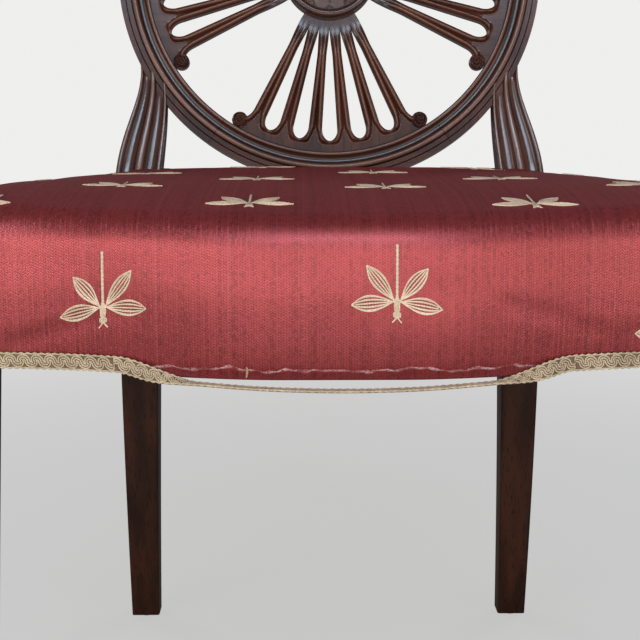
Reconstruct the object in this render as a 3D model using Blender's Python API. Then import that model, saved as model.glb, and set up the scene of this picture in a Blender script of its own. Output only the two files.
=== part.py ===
"""Wheel-back dining chair with a stuffed-over serpentine seat.

A mahogany frame of tapered front legs, raked rear posts and a moulded hoop holds four pierced
palmettes round a turned hub. The seat is webbed, padded and covered in silk with a gimp edge.
The chair faces -Y and stands on Z = 0.
"""

import math

import bmesh
import bpy
from mathutils import Matrix, Vector

MM = 0.001
FIT_GAP = 0.3 * MM  # between pieces that seat on each other

# Seat frame
SEAT_FRONT_WIDTH = 588 * MM  # over the front legs
SEAT_REAR_WIDTH = 424 * MM  # over the rear posts
FRAME_DEPTH = 390 * MM  # front of the front legs to front of the posts
RAIL_BOTTOM = 355 * MM  # above the floor
RAIL_HEIGHT = 70 * MM
RAIL_THICKNESS = 26 * MM
FRONT_RAIL_THICKNESS = 30 * MM
REAR_RAIL_SETBACK = 6 * MM  # lets the cover lie flush with the posts
BOW_DEPTH = 46 * MM  # how far the serpentine front swells forward
BOW_FLAT = 80 * MM  # nearly straight stretch in its middle

# Front legs and rear posts
FRONT_LEG_TOP = 37 * MM
FRONT_LEG_FOOT = 26 * MM
FRONT_LEG_SHOULDER = 8 * MM  # straight length under the rails, above the taper
LEG_EDGE_RADIUS = 5 * MM  # outer front edge
POST_WIDTH = 40 * MM
POST_DEPTH = 40 * MM
POST_FOOT = 29 * MM
SABRE_SETBACK = 58 * MM  # how far the rear feet stand behind the posts
SABRE_POWER = 1.5  # curve of that setback
BACK_RAKE = math.radians(10)

# Stiles: how their edges curve from the rails to the hoop
STILE_SWELL = 16 * MM  # pull of the outer edge outward, above the rails
STILE_SWELL_HEIGHT = 90 * MM
STILE_LEAN = 3 * MM  # pull of the inner edge outward
STILE_LEAN_HEIGHT = 60 * MM
WAIST_INSET = 17 * MM  # pull of the outer edge inward, under the hoop
WAIST_DROP = 48 * MM
WAIST_WIDTH = 24 * MM
WAIST_SLANT = 7 * MM
STILE_END_INSET = 8 * MM  # from the hoop's inner edge to the end of the stile's inner edge
STILE_END_RISE = 2 * MM
STILE_FRONT_RISE = 4 * MM  # front of the stile's upper end, over the ground of the hoop
STILE_FRONT_SINK = 5 * MM  # how far that front dips into the hoop at its very end
STILE_REAR_INSET = 1 * MM  # rear of the upper end, inside the rear of the hoop
STILE_BLEND = 0.8  # share of the stile's length over which it thins to the hoop's depth

# Tenons of the seat rails
TENON_THICKNESS = 10 * MM
TENON_HEIGHT = 50 * MM
CROSS_TENON_LENGTH = 18 * MM  # front and rear rails
SIDE_TENON_LENGTH = 24 * MM

# Wheel: hoop, palmettes and hub
HOOP_RADIUS = 213 * MM
HOOP_DEPTH = 24 * MM
HOOP_EASE = 1.5 * MM  # chamfer of its rear edges
HOOP_CLEARANCE = 46 * MM  # hoop's lowest point above the rails, along the back
HOOP_GROOVE_DEPTH = 5 * MM  # houses the palmettes
LOWER_JOINT = math.radians(35)  # joints of the hoop, measured from its lowest point
UPPER_JOINT = math.radians(125)
STILE_JOIN = math.radians(67)  # where the stile's outer edge runs into the hoop
STILE_JOIN_SINK = 2.5 * MM  # how far it ends inside the hoop
DOWEL_RADIUS = 3 * MM
DOWEL_HALF_LENGTH = 12 * MM
DOWEL_INSETS = (8 * MM, 17 * MM)  # from the hoop's outer edge
PALMETTE_THICKNESS = 11 * MM
PALMETTE_SETBACK = 2 * MM  # behind the hoop's middle plane
LOBE_COUNT = 6
LOBE_PITCH = math.radians(10.5)
LOBE_ROOT_WIDTH = 6.8 * MM
LOBE_FOOT_WIDTH = 14.5 * MM
LOBE_BAND = 12 * MM  # solid arc between the openings and the hoop
ARCH_RISE = 12 * MM  # rounded end of each opening
OPENING_START = 9 * MM  # from the hub to each opening's narrow end
OPENING_TIP = 6 * MM  # rounding of that end
OPENING_SPREAD = 30 * MM  # length over which an opening reaches its full width
SCROLL_ANGLE = math.radians(31.2)
SCROLL_RADIUS = 8 * MM
SCROLL_NECK = 4 * MM  # from the openings' arches to where the outer spokes curl out
SCROLL_TURN = (math.radians(-80), math.radians(70))
SCROLL_LAND = 1.5 * MM  # rim of the palmette past each scroll's middle
HUB_RADIUS = 47 * MM
HUB_GROOVE_DEPTH = 6 * MM
HUB_FRONT = 13 * MM  # from the hoop's middle plane
HUB_REAR_EASE = 3 * MM
HUB_BEAD_WIDTH = 7 * MM  # bead round the front of the hub
HUB_BEAD_EASE = 2.5 * MM
HUB_BEAD_DROP = 2 * MM  # its top under the front of the hub
HUB_DISH_DROP = 4 * MM  # hollow inside the bead
HUB_DOME_RADIUS = 28 * MM
HUB_DOME_DROP = 1 * MM
HUB_BORE = 6 * MM
BOSS_RADIUS = 12 * MM
BOSS_RISE = 5 * MM
BOSS_RIM = 1 * MM  # straight edge under its dome
BOSS_STEM_INSET = 8 * MM  # end of its stem inside the rear of the hub

# Mouldings, outer edge first: kind, width, height over the ground of the moulding
BEAD_RISE = 0.35  # roundness of a bead, as a share of its width
COVE_SINK = 0.3
HOOP_GROUND = 5 * MM  # ground in front of the hoop's middle plane
HOOP_MOULDING = (
    ("fillet", 5.0 * MM, 2.0 * MM),
    ("quirk", 1.0 * MM, 0.6 * MM),
    ("fillet", 4.5 * MM, 3.2 * MM),
    ("quirk", 1.0 * MM, 2.0 * MM),
    ("bead", 5.5 * MM, 7.0 * MM),
    ("cove", 8.5 * MM, 1.0 * MM),
    ("bead", 4.0 * MM, 4.6 * MM),
)
STILE_MOULDING = (
    ("bead", 4.0 * MM, -0.5 * MM),
    ("cove", 11.0 * MM, -3.5 * MM),
    ("bead", 8.0 * MM, 0.5 * MM),
    ("cove", 11.0 * MM, -3.5 * MM),
    ("bead", 4.0 * MM, -0.5 * MM),
)
MOULDING_RUN_IN = (0.05, 0.3)  # shares of the stile's length between which its moulding deepens
PLAIN_LEG = 0.02  # share of the moulding's depth that eases the face of the leg below it

# Upholstery
WEBBING_WIDTH = 50 * MM
WEBBING_THICKNESS = 1.6 * MM
WEBBING_PITCH = 75 * MM
WEBBING_LENGTHWAYS = 4
CROSS_WEBBING_START = 95 * MM  # behind the front of the legs
CROSS_WEBBING_PITCH = 100 * MM
WEBBING_CROSSWAYS = 3
WEBBING_LAP = 10 * MM  # from the outer face of a rail to a strip's end
WEAVE_EASE = 1 * MM  # flat run of a strip past the strip that it crosses
HESSIAN_THICKNESS = 0.8 * MM
HESSIAN_INSET = 6 * MM
PAD_EDGE_HEIGHT = 52 * MM  # top of the seat's edge over the rails
PAD_CROWN = 4 * MM
PAD_REAR_FALL = 18 * MM  # how much lower its rear edge is, under the hoop
REAR_FALL_LENGTH = 160 * MM  # over which the sides fall to it
ROLL_RADIUS = 26 * MM  # rounded top edge
SIDE_SWELL = 3 * MM
WADDING_THICKNESS = 3 * MM
COVER_THICKNESS = 1.2 * MM
POST_WELL_GAP = 1 * MM  # between the upholstery and a post
DUST_COVER_THICKNESS = 0.8 * MM
DUST_COVER_INSET = 8 * MM
GIMP_WIDTH = 12.7 * MM
GIMP_THICKNESS = 2 * MM
GIMP_LOOSE_LEFT = 162 * MM  # where the gimp has come off, from the middle of the front
GIMP_LOOSE_RIGHT = 166 * MM
GIMP_TURN_LENGTH = 62 * MM  # over which the loose gimp turns flat
GIMP_TURN = math.radians(92)
GIMP_DROP = 14.7 * MM  # its upper edge's fall below the middle of the stuck gimp
GIMP_SAG = 0.24  # share of the fall that follows after the turn, towards the middle
GIMP_GAP = 0.6 * MM  # between the gimp and the cover

# Corner blocks, screws and glides
BLOCK_HEIGHT = 36 * MM
BLOCK_REACH = 55 * MM  # along each rail, from the leg or post
BLOCK_GAP = 0.6 * MM
SCREW_LENGTH = 32 * MM
SCREW_RADIUS = 2.1 * MM
SCREW_HEAD_RADIUS = 4.2 * MM
SCREW_HEAD_HEIGHT = 4 * MM
SCREW_HEAD_RIM = 1 * MM
SCREW_TIP_RADIUS = 0.6 * MM
SCREW_TIP_LENGTH = 4 * MM
SCREW_BITE = 16 * MM  # length in the rail
GLIDE_RADIUS = 9 * MM
GLIDE_HEIGHT = 3 * MM
GLIDE_EDGE = 1 * MM  # bevel of its upper edge
GLIDE_NAIL_RADIUS = 1.2 * MM
GLIDE_NAIL_LENGTH = 14 * MM
GLIDE_NAIL_POINT = 3 * MM
GLIDE_NAIL_TIP = 0.3 * MM  # radius

# Mesh resolution
SHARP_ANGLE = math.radians(35)
HOOP_STEP = math.radians(6)
ARC_STEPS = 3
LEG_STEPS = 6
STILE_STEPS = 10
SPOKE_STEPS = 6
ARCH_STEPS = 4
SCROLL_STEPS = 6
RIM_STEPS = 12
DOME_STEPS = 4
HUB_SIDES = 24
BOSS_SIDES = 12
ROUND_SIDES = 10
FRONT_STEPS = 14
CORNER_STEPS = 2
SIDE_STEPS = 3
REAR_STEPS = 4
BLOCK_STEPS = 5
SIDE_RINGS = 2
ROLL_RINGS = 4
CROWN_RINGS = 3
LOOSE_GIMP_STEPS = 34

# Derived places
RAIL_TOP = RAIL_BOTTOM + RAIL_HEIGHT
WHEEL_RISE = HOOP_CLEARANCE + HOOP_RADIUS
HOOP_WIDTH = sum(width for _, width, _ in HOOP_MOULDING)
HOOP_INNER = HOOP_RADIUS - HOOP_WIDTH
WADDING_LIFT = FIT_GAP
COVER_LIFT = WADDING_LIFT + WADDING_THICKNESS + FIT_GAP
COVER_OUTSIDE = COVER_LIFT + COVER_THICKNESS
FRONT_REACH = BOW_DEPTH + COVER_OUTSIDE + SIDE_SWELL
REAR_REACH = (
    FRAME_DEPTH
    + POST_DEPTH / 2
    + (WHEEL_RISE + HOOP_RADIUS) * math.sin(BACK_RAKE)
    + HOOP_DEPTH / 2 * math.cos(BACK_RAKE)
)
FRONT_Y = (FRONT_REACH - REAR_REACH) / 2  # front face of the front legs
POST_FRONT_Y = FRONT_Y + FRAME_DEPTH
POST_Y = POST_FRONT_Y + POST_DEPTH / 2
REAR_Y = POST_FRONT_Y + POST_DEPTH - REAR_RAIL_SETBACK  # rear face of the rear rail
LEG_INNER_X = SEAT_FRONT_WIDTH / 2 - FRONT_LEG_TOP
LEG_BACK_Y = FRONT_Y + FRONT_LEG_TOP
POST_OUTER_X = SEAT_REAR_WIDTH / 2
POST_INNER_X = POST_OUTER_X - POST_WIDTH
SIDE_SLOPE = (POST_OUTER_X - SEAT_FRONT_WIDTH / 2) / (POST_FRONT_Y - LEG_BACK_Y)
SIDE_OUTWARD = Vector((1, -SIDE_SLOPE, 0)).normalized()
WEAVE_RISE = (WEBBING_THICKNESS + FIT_GAP) / 2
WEBBING_Z = RAIL_TOP + FIT_GAP + WEBBING_THICKNESS / 2
HESSIAN_BOTTOM = WEBBING_Z + WEAVE_RISE + WEBBING_THICKNESS / 2 + FIT_GAP
PAD_BOTTOM = HESSIAN_BOTTOM + HESSIAN_THICKNESS + FIT_GAP
PAD_EDGE_TOP = RAIL_TOP + PAD_EDGE_HEIGHT
ROLL_START = PAD_EDGE_TOP - ROLL_RADIUS
SEAT_MIDDLE = Vector((0, (FRONT_Y + REAR_Y) / 2))
SIDES = (("left", -1), ("right", 1))


# Materials


def finish(name, colour, roughness, metallic=0.0):
    """A plain Principled material."""
    material = bpy.data.materials.new(name)
    material.use_nodes = True
    shader = material.node_tree.nodes["Principled BSDF"]
    shader.inputs["Base Color"].default_value = (*colour, 1)
    shader.inputs["Roughness"].default_value = roughness
    shader.inputs["Metallic"].default_value = metallic
    return material


def make_finishes():
    """Every material of the chair, by name."""
    return {
        "mahogany": finish("mahogany", (0.085, 0.025, 0.014), 0.28),
        "frame_wood": finish("frame_wood", (0.46, 0.30, 0.17), 0.6),
        "silk": finish("silk", (0.42, 0.012, 0.045), 0.5),
        "gimp": finish("gimp", (0.50, 0.36, 0.20), 0.8),
        "wadding": finish("wadding", (0.85, 0.83, 0.78), 0.95),
        "stuffing": finish("stuffing", (0.80, 0.72, 0.50), 0.9),
        "jute": finish("jute", (0.48, 0.35, 0.20), 0.9),
        "dust_cloth": finish("dust_cloth", (0.02, 0.02, 0.022), 0.95),
        "steel": finish("steel", (0.60, 0.58, 0.55), 0.35, 1.0),
    }


# Mesh helpers


def place(name, data, parent=None, matrix=None):
    """Put mesh or curve data into the scene."""
    piece = bpy.data.objects.new(name, data)
    bpy.context.scene.collection.objects.link(piece)
    piece.parent = parent
    if matrix is not None:
        piece.matrix_local = matrix
    return piece


def add_piece(name, bm, material, parent=None, matrix=None):
    """Turn a bmesh into a named object."""
    mesh = bpy.data.meshes.new(name)
    bmesh.ops.recalc_face_normals(bm, faces=bm.faces)
    bm.to_mesh(mesh)
    bm.free()
    mesh.shade_smooth()
    mesh.set_sharp_from_angle(angle=SHARP_ANGLE)
    if material is not None:
        mesh.materials.append(material)
    return place(name, mesh, parent, matrix)


def combine(piece, operand, operation):
    """Cut an operand from a piece, or join it on, with a Boolean."""
    operand.hide_render = True
    operand.display_type = "WIRE"
    modifier = piece.modifiers.new(operand.name, "BOOLEAN")
    modifier.operation = operation
    modifier.object = operand


def loft(rings, ring_shaped=False):
    """Skin over rings of equally many points, with end caps or closed on itself."""
    bm = bmesh.new()
    rows = [[bm.verts.new(point) for point in ring] for ring in rings]
    pairs = list(zip(rows, rows[1:]))
    if ring_shaped:
        pairs.append((rows[-1], rows[0]))
    else:
        bm.faces.new(rows[0])
        bm.faces.new(rows[-1])
    for low, high in pairs:
        for index in range(len(low)):
            after = (index + 1) % len(low)
            bm.faces.new((low[index], low[after], high[after], high[index]))
    return bm


def box(low, high):
    """A box between two corners."""
    plan = [(low[0], low[1]), (high[0], low[1]), (high[0], high[1]), (low[0], high[1])]
    return prism(plan, low[2], high[2])


def prism(outline, low, high):
    """A plan outline raised from one height to another."""
    return loft([[(x, y, z) for x, y in outline] for z in (low, high)])


def turned(profile, sides, ring_shaped=False):
    """A solid turned round local Z from (radius, height) points."""
    rings = []
    for radius, height in profile:
        angles = [math.tau * side / sides for side in range(sides)]
        rings.append([(radius * math.cos(a), radius * math.sin(a), height) for a in angles])
    return loft(rings, ring_shaped)


def aim(origin, direction):
    """Placement that sends local Z along a direction."""
    return Matrix.Translation(origin) @ direction.to_track_quat("Z", "Y").to_matrix().to_4x4()


def smoothstep(value, start, end):
    share = min(1.0, max(0.0, (value - start) / (end - start)))
    return share * share * (3 - 2 * share)


def blend(first, second, share):
    return first + (second - first) * share


def bezier(points, share):
    """Point of a cubic curve through its end points."""
    rest = 1 - share
    weights = (rest**3, 3 * rest * rest * share, 3 * rest * share * share, share**3)
    total = Vector((0, 0))
    for weight, point in zip(weights, points):
        total += weight * Vector(point)
    return total


def moulding(members):
    """Points (across, height) of a moulding, from its outer edge to its inner edge."""
    points = []
    start = 0.0
    for kind, width, height in members:
        if kind == "fillet":
            points += [(start, height), (start + width, height)]
        elif kind == "quirk":
            points.append((start + width / 2, height))
        else:
            rise = width * (BEAD_RISE if kind == "bead" else -COVE_SINK)
            for step in range(ARC_STEPS + 1):
                turn = math.pi * step / ARC_STEPS
                across = start + width * (0.5 - 0.5 * math.cos(turn))
                points.append((across, height - rise + rise * math.sin(turn)))
        start += width
    advancing = [point for point, after in zip(points, points[1:]) if after[0] > point[0]]
    return advancing + points[-1:]


# Plan of the seat frame


def front_face_y(x):
    """Front face of the serpentine rail and the legs."""
    return FRONT_Y - BOW_DEPTH * (1 - smoothstep(abs(x), BOW_FLAT / 2, LEG_INNER_X))


def front_stations(start_x):
    """Steps along the right half of the front, up to the leg's rounded edge."""
    corner_x = SEAT_FRONT_WIDTH / 2 - LEG_EDGE_RADIUS
    return [blend(start_x, corner_x, step / FRONT_STEPS) for step in range(FRONT_STEPS)]


def side_face_x(y):
    """Outer face of the right side rail and leg."""
    return SEAT_FRONT_WIDTH / 2 + SIDE_SLOPE * max(0.0, y - LEG_BACK_Y)


def side_inner_x(y):
    """Inner face of the right side rail."""
    return side_face_x(y) - RAIL_THICKNESS / SIDE_OUTWARD.x


def edge_route(start_x, end_y):
    """Plan points of the frame's outer faces, right half, from the front to the side."""
    corner_x = SEAT_FRONT_WIDTH / 2 - LEG_EDGE_RADIUS
    points = [Vector((x, front_face_y(x))) for x in front_stations(start_x)]
    for step in range(CORNER_STEPS + 1):
        turn = math.pi / 2 * step / CORNER_STEPS
        x = corner_x + LEG_EDGE_RADIUS * math.sin(turn)
        points.append(Vector((x, FRONT_Y + LEG_EDGE_RADIUS * (1 - math.cos(turn)))))
    for step in range(SIDE_STEPS + 1):
        y = blend(LEG_BACK_Y, min(end_y, POST_FRONT_Y), step / SIDE_STEPS)
        points.append(Vector((side_face_x(y), y)))
    if end_y > POST_FRONT_Y:
        points.append(Vector((POST_OUTER_X, end_y)))
    return points


def mirrored(points):
    """The same plan points on the left, in reverse order."""
    return [Vector((-point.x, point.y)) for point in reversed(points)]


def widened(points, distance, closed):
    """Plan points moved outward, on a route that runs with the outside on its right."""
    moved = []
    for index, point in enumerate(points):
        before = points[index - 1] if closed or index else point
        after = points[(index + 1) % len(points)] if closed or index + 1 < len(points) else point
        arrive = (point - before).normalized() if point != before else (after - point).normalized()
        leave = (after - point).normalized() if point != after else arrive
        first = Vector((arrive.y, -arrive.x))
        second = Vector((leave.y, -leave.x))
        moved.append(point + (first + second) * distance / (1 + first.dot(second)))
    return moved


def seat_outline(distance):
    """Closed plan outline of the frame, moved outward by a distance."""
    right = edge_route(0, REAR_Y)
    rear = [Vector((POST_INNER_X * (1 - step / REAR_STEPS), REAR_Y)) for step in range(REAR_STEPS + 1)]
    left = mirrored(right[1:] + rear[:-1])
    return widened(right + rear + left, distance, closed=True)


def away_from_middle(point, distance):
    """A plan point moved straight away from the seat's middle."""
    arm = point - SEAT_MIDDLE
    return point + arm.normalized() * distance


# Frames of the raked back


def make_wheel_frame():
    """Empty at the hub whose X, Y and Z run across, up and out of the raked back."""
    lean = Matrix.Rotation(math.pi / 2 - BACK_RAKE, 4, "X")
    back = place("back_frame", None, None, Matrix.Translation((0, POST_Y, RAIL_TOP)) @ lean)
    return place("wheel_frame", None, back, Matrix.Translation((0, WHEEL_RISE, 0)))


def back_point(across, up, out):
    """A point of the raked back in the chair's frame."""
    y = POST_Y + up * math.sin(BACK_RAKE) - out * math.cos(BACK_RAKE)
    z = RAIL_TOP + up * math.cos(BACK_RAKE) + out * math.sin(BACK_RAKE)
    return Vector((across, y, z))


def wheel_point(radius, angle):
    """A point in the wheel's plane, with its angle measured from the lowest point."""
    return Vector((radius * math.sin(angle), -radius * math.cos(angle)))


# Rear posts


def leg_corners(z, margin):
    """Corners of the right post below the rail's top: outer front, inner front, inner rear, outer rear."""
    front, inner, rear, outer = margin
    drop = max(0.0, (RAIL_BOTTOM - z) / RAIL_BOTTOM)
    width = blend(POST_WIDTH, POST_FOOT, drop)
    depth = blend(POST_DEPTH, POST_FOOT, drop)
    middle_y = POST_Y + SABRE_SETBACK * drop**SABRE_POWER
    x_out = POST_OUTER_X + outer
    x_in = POST_OUTER_X - width - inner
    y_front = middle_y - depth / 2 - front
    y_rear = middle_y + depth / 2 + rear
    return [
        Vector((x_out, y_front, z)),
        Vector((x_in, y_front, z)),
        Vector((x_in, y_rear, z)),
        Vector((x_out, y_rear, z)),
    ]


def stile_corners(share, margin):
    """Corners of the right stile, from the rails to its end inside the hoop."""
    front, inner, rear, outer = margin
    join = wheel_point(HOOP_RADIUS - STILE_JOIN_SINK, STILE_JOIN) + Vector((0, WHEEL_RISE))
    waist = join - Vector((WAIST_INSET, WAIST_DROP))
    outer_pull = (POST_OUTER_X + STILE_SWELL, STILE_SWELL_HEIGHT)
    outer_edge = bezier(((POST_OUTER_X, 0), outer_pull, waist, join), share)
    inner_pull = (POST_INNER_X + STILE_LEAN, STILE_LEAN_HEIGHT)
    inner_waist = waist - Vector((WAIST_WIDTH, WAIST_SLANT))
    inner_end = join + Vector((STILE_END_INSET - HOOP_WIDTH, STILE_END_RISE))
    inner_edge = bezier(((POST_INNER_X, 0), inner_pull, inner_waist, inner_end), share)
    thinning = smoothstep(share, 0, STILE_BLEND)
    sink = STILE_FRONT_SINK * smoothstep(share, STILE_BLEND, 1)
    out_front = blend(POST_DEPTH / 2, HOOP_GROUND + STILE_FRONT_RISE, thinning) - sink + front
    out_rear = -blend(POST_DEPTH / 2, HOOP_DEPTH / 2 - STILE_REAR_INSET, thinning) - rear
    return [
        back_point(outer_edge.x + outer, outer_edge.y, out_front),
        back_point(inner_edge.x - inner, inner_edge.y, out_front),
        back_point(inner_edge.x - inner, inner_edge.y, out_rear),
        back_point(outer_edge.x + outer, outer_edge.y, out_rear),
    ]


def moulded_ring(corners, depth):
    """Ring of a post with its moulding worked into the front to a share of its depth."""
    outer_front, inner_front, inner_rear, outer_rear = corners
    outward = (outer_front - outer_rear).normalized()
    points = moulding(STILE_MOULDING)
    total = points[-1][0]
    ring = [outer_rear]
    for across, height in points:
        ring.append(blend(outer_front, inner_front, across / total) + outward * height * depth)
    ring.append(inner_rear)
    return ring


def on_side(points, side):
    """Points of the right half put on the given side."""
    return [Vector((point[0] * side, *point[1:])) for point in points]


def post_mesh(side):
    """Rear leg and stile, plain below the seat and moulded above it."""
    flush = (0, 0, 0, 0)
    rings = []
    heights = [blend(GLIDE_HEIGHT, RAIL_BOTTOM, step / LEG_STEPS) for step in range(LEG_STEPS + 1)]
    for z in heights + [RAIL_TOP]:
        rings.append(moulded_ring(leg_corners(z, flush), PLAIN_LEG))
    for step in range(1, STILE_STEPS + 1):
        share = step / STILE_STEPS
        depth = max(PLAIN_LEG, smoothstep(share, *MOULDING_RUN_IN))
        rings.append(moulded_ring(stile_corners(share, flush), depth))
    return loft([on_side(ring, side) for ring in rings])


def post_well(name, side):
    """Cutter that clears the upholstery round a post and outside it."""
    margin = (POST_WELL_GAP, POST_WELL_GAP, POST_DEPTH, POST_WIDTH)
    rings = [leg_corners(z, margin) for z in (RAIL_BOTTOM - BLOCK_HEIGHT, RAIL_BOTTOM, RAIL_TOP)]
    lower_half = range(1, STILE_STEPS // 2 + 1)
    rings += [stile_corners(step / STILE_STEPS, margin) for step in lower_half]
    return add_piece(name, loft([on_side(ring, side) for ring in rings]), None)


def hoop_arc(start, end):
    """Moulded arc of the hoop between two angles, grooved inside for the palmettes."""
    groove_front = -PALMETTE_SETBACK + PALMETTE_THICKNESS / 2 + FIT_GAP
    groove_rear = groove_front - PALMETTE_THICKNESS - 2 * FIT_GAP
    profile = [(across, HOOP_GROUND + height) for across, height in moulding(HOOP_MOULDING)]
    profile += [
        (HOOP_WIDTH, groove_front),
        (HOOP_WIDTH - HOOP_GROOVE_DEPTH, groove_front),
        (HOOP_WIDTH - HOOP_GROOVE_DEPTH, groove_rear),
        (HOOP_WIDTH, groove_rear),
        (HOOP_WIDTH, HOOP_EASE - HOOP_DEPTH / 2),
        (HOOP_WIDTH - HOOP_EASE, -HOOP_DEPTH / 2),
        (HOOP_EASE, -HOOP_DEPTH / 2),
        (0, HOOP_EASE - HOOP_DEPTH / 2),
    ]
    steps = round((end - start) / HOOP_STEP)
    rings = []
    for step in range(steps + 1):
        angle = blend(start, end, step / steps)
        rings.append([(*wheel_point(HOOP_RADIUS - inset, angle), out) for inset, out in profile])
    return loft(rings)


def make_posts(finishes, wheel):
    """Both rear posts, each one piece with its side of the hoop."""
    posts = {}
    for name, side in SIDES:
        post = add_piece(f"rear_post_{name}", post_mesh(side), finishes["mahogany"])
        ends = sorted((side * LOWER_JOINT, side * UPPER_JOINT))
        arc = add_piece(f"join_hoop_{name}", hoop_arc(*ends), None, wheel)
        combine(post, arc, "UNION")
        posts[name] = post
    return posts


# Wheel


def make_hoop_rails(finishes, wheel):
    """Lower rail and crest of the hoop."""
    gap = FIT_GAP / HOOP_INNER
    lower = hoop_arc(gap - LOWER_JOINT, LOWER_JOINT - gap)
    crest = hoop_arc(UPPER_JOINT + gap, math.tau - UPPER_JOINT - gap)
    return {
        "lower": add_piece("hoop_lower_rail", lower, finishes["mahogany"], wheel),
        "crest": add_piece("hoop_crest", crest, finishes["mahogany"], wheel),
    }


def rod(radius, half_length):
    """A round rod along local Z."""
    return turned([(radius, -half_length), (radius, half_length)], ROUND_SIDES)


def make_dowels(finishes, wheel, posts, rails):
    """Two dowels across each joint of the hoop, with their holes."""
    for name, side in SIDES:
        for rail, angle in (("lower", side * LOWER_JOINT), ("crest", side * UPPER_JOINT)):
            along = Vector((math.cos(angle), math.sin(angle), 0))
            for number, inset in enumerate(DOWEL_INSETS, 1):
                spot = Vector((*wheel_point(HOOP_RADIUS - inset, angle), -PALMETTE_SETBACK))
                label = f"{rail}_{name}_{number}"
                stick = rod(DOWEL_RADIUS, DOWEL_HALF_LENGTH)
                add_piece(f"dowel_{label}", stick, finishes["frame_wood"], wheel, aim(spot, along))
                hole = rod(DOWEL_RADIUS + FIT_GAP, DOWEL_HALF_LENGTH + FIT_GAP)
                cutter = add_piece(f"cut_dowel_{label}", hole, None, wheel, aim(spot, along))
                combine(posts[name], cutter, "DIFFERENCE")
                combine(rails[rail], cutter, "DIFFERENCE")


def lobe_half_width(radius):
    """Half the width of a palmette's spoke at a distance from the hub's middle."""
    share = (radius - HUB_RADIUS) / (HOOP_INNER - LOBE_BAND - HUB_RADIUS)
    return blend(LOBE_ROOT_WIDTH, LOBE_FOOT_WIDTH, min(1.0, max(0.0, share))) / 2


def opening_outline(middle):
    """Teardrop opening between two spokes, narrow at the hub and arched at the hoop."""
    start = HUB_RADIUS + OPENING_START
    arch_top = HOOP_INNER - LOBE_BAND
    arch_start = arch_top - ARCH_RISE
    sides = []
    for step in range(SPOKE_STEPS + 1):
        radius = blend(start, arch_start, step / SPOKE_STEPS)
        spread = smoothstep(radius, start - OPENING_TIP, start + OPENING_SPREAD)
        sides.append((radius, spread * (radius * LOBE_PITCH / 2 - lobe_half_width(radius))))
    widest = sides[-1][1]
    for step in range(1, ARCH_STEPS):
        turn = math.pi / 2 * step / ARCH_STEPS
        sides.append((arch_start + ARCH_RISE * math.sin(turn), widest * math.cos(turn)))
    right = [wheel_point(radius, middle + half / radius) for radius, half in sides]
    left = [wheel_point(radius, middle - half / radius) for radius, half in reversed(sides)]
    return right + [wheel_point(arch_top, middle)] + left


def palmette_outline():
    """Outer outline of a palmette: root in the hub, spokes' sides, scrolls and rim."""
    root = HUB_RADIUS - HUB_GROOVE_DEPTH + FIT_GAP
    rim = HOOP_INNER + HOOP_GROOVE_DEPTH - FIT_GAP
    outer_lobe = LOBE_PITCH * (LOBE_COUNT - 1) / 2
    neck = HOOP_INNER - LOBE_BAND - ARCH_RISE - SCROLL_NECK
    side = []
    for step in range(SPOKE_STEPS):
        radius = blend(root, neck, step / (SPOKE_STEPS - 1))
        side.append(wheel_point(radius, outer_lobe + lobe_half_width(radius) / radius))
    scroll = wheel_point(HOOP_INNER - SCROLL_RADIUS - FIT_GAP, SCROLL_ANGLE)
    outward = scroll.normalized()
    across = Vector((-outward.y, outward.x))
    for step in range(SCROLL_STEPS + 1):
        turn = blend(*SCROLL_TURN, step / SCROLL_STEPS)
        side.append(scroll + SCROLL_RADIUS * (across * math.cos(turn) + outward * math.sin(turn)))
    rim_half = SCROLL_ANGLE + SCROLL_LAND / HOOP_INNER
    rim_points = []
    for step in range(RIM_STEPS + 1):
        rim_points.append(wheel_point(rim, rim_half * (1 - 2 * step / RIM_STEPS)))
    root_half = outer_lobe + lobe_half_width(root) / root
    root_points = []
    for step in range(1, SPOKE_STEPS):
        root_points.append(wheel_point(root, root_half * (2 * step / SPOKE_STEPS - 1)))
    return side + rim_points + mirrored(side) + root_points


def make_palmettes(finishes, wheel):
    """Four carved palmettes between the hub and the hoop."""
    curve = bpy.data.curves.new("palmette", "CURVE")
    curve.dimensions = "2D"
    curve.fill_mode = "BOTH"
    curve.extrude = PALMETTE_THICKNESS / 2
    curve.materials.append(finishes["mahogany"])
    middles = [LOBE_PITCH * (gap - LOBE_COUNT / 2 + 1) for gap in range(LOBE_COUNT - 1)]
    for outline in [palmette_outline()] + [opening_outline(middle) for middle in middles]:
        spline = curve.splines.new("POLY")
        spline.points.add(len(outline) - 1)
        spline.use_cyclic_u = True
        for knot, point in zip(spline.points, outline):
            knot.co = (*point, 0, 1)
    for quarter, name in enumerate(("lower", "right", "upper", "left")):
        turn = Matrix.Rotation(quarter * math.pi / 2, 4, "Z")
        place(f"palmette_{name}", curve, wheel, Matrix.Translation((0, 0, -PALMETTE_SETBACK)) @ turn)


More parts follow.
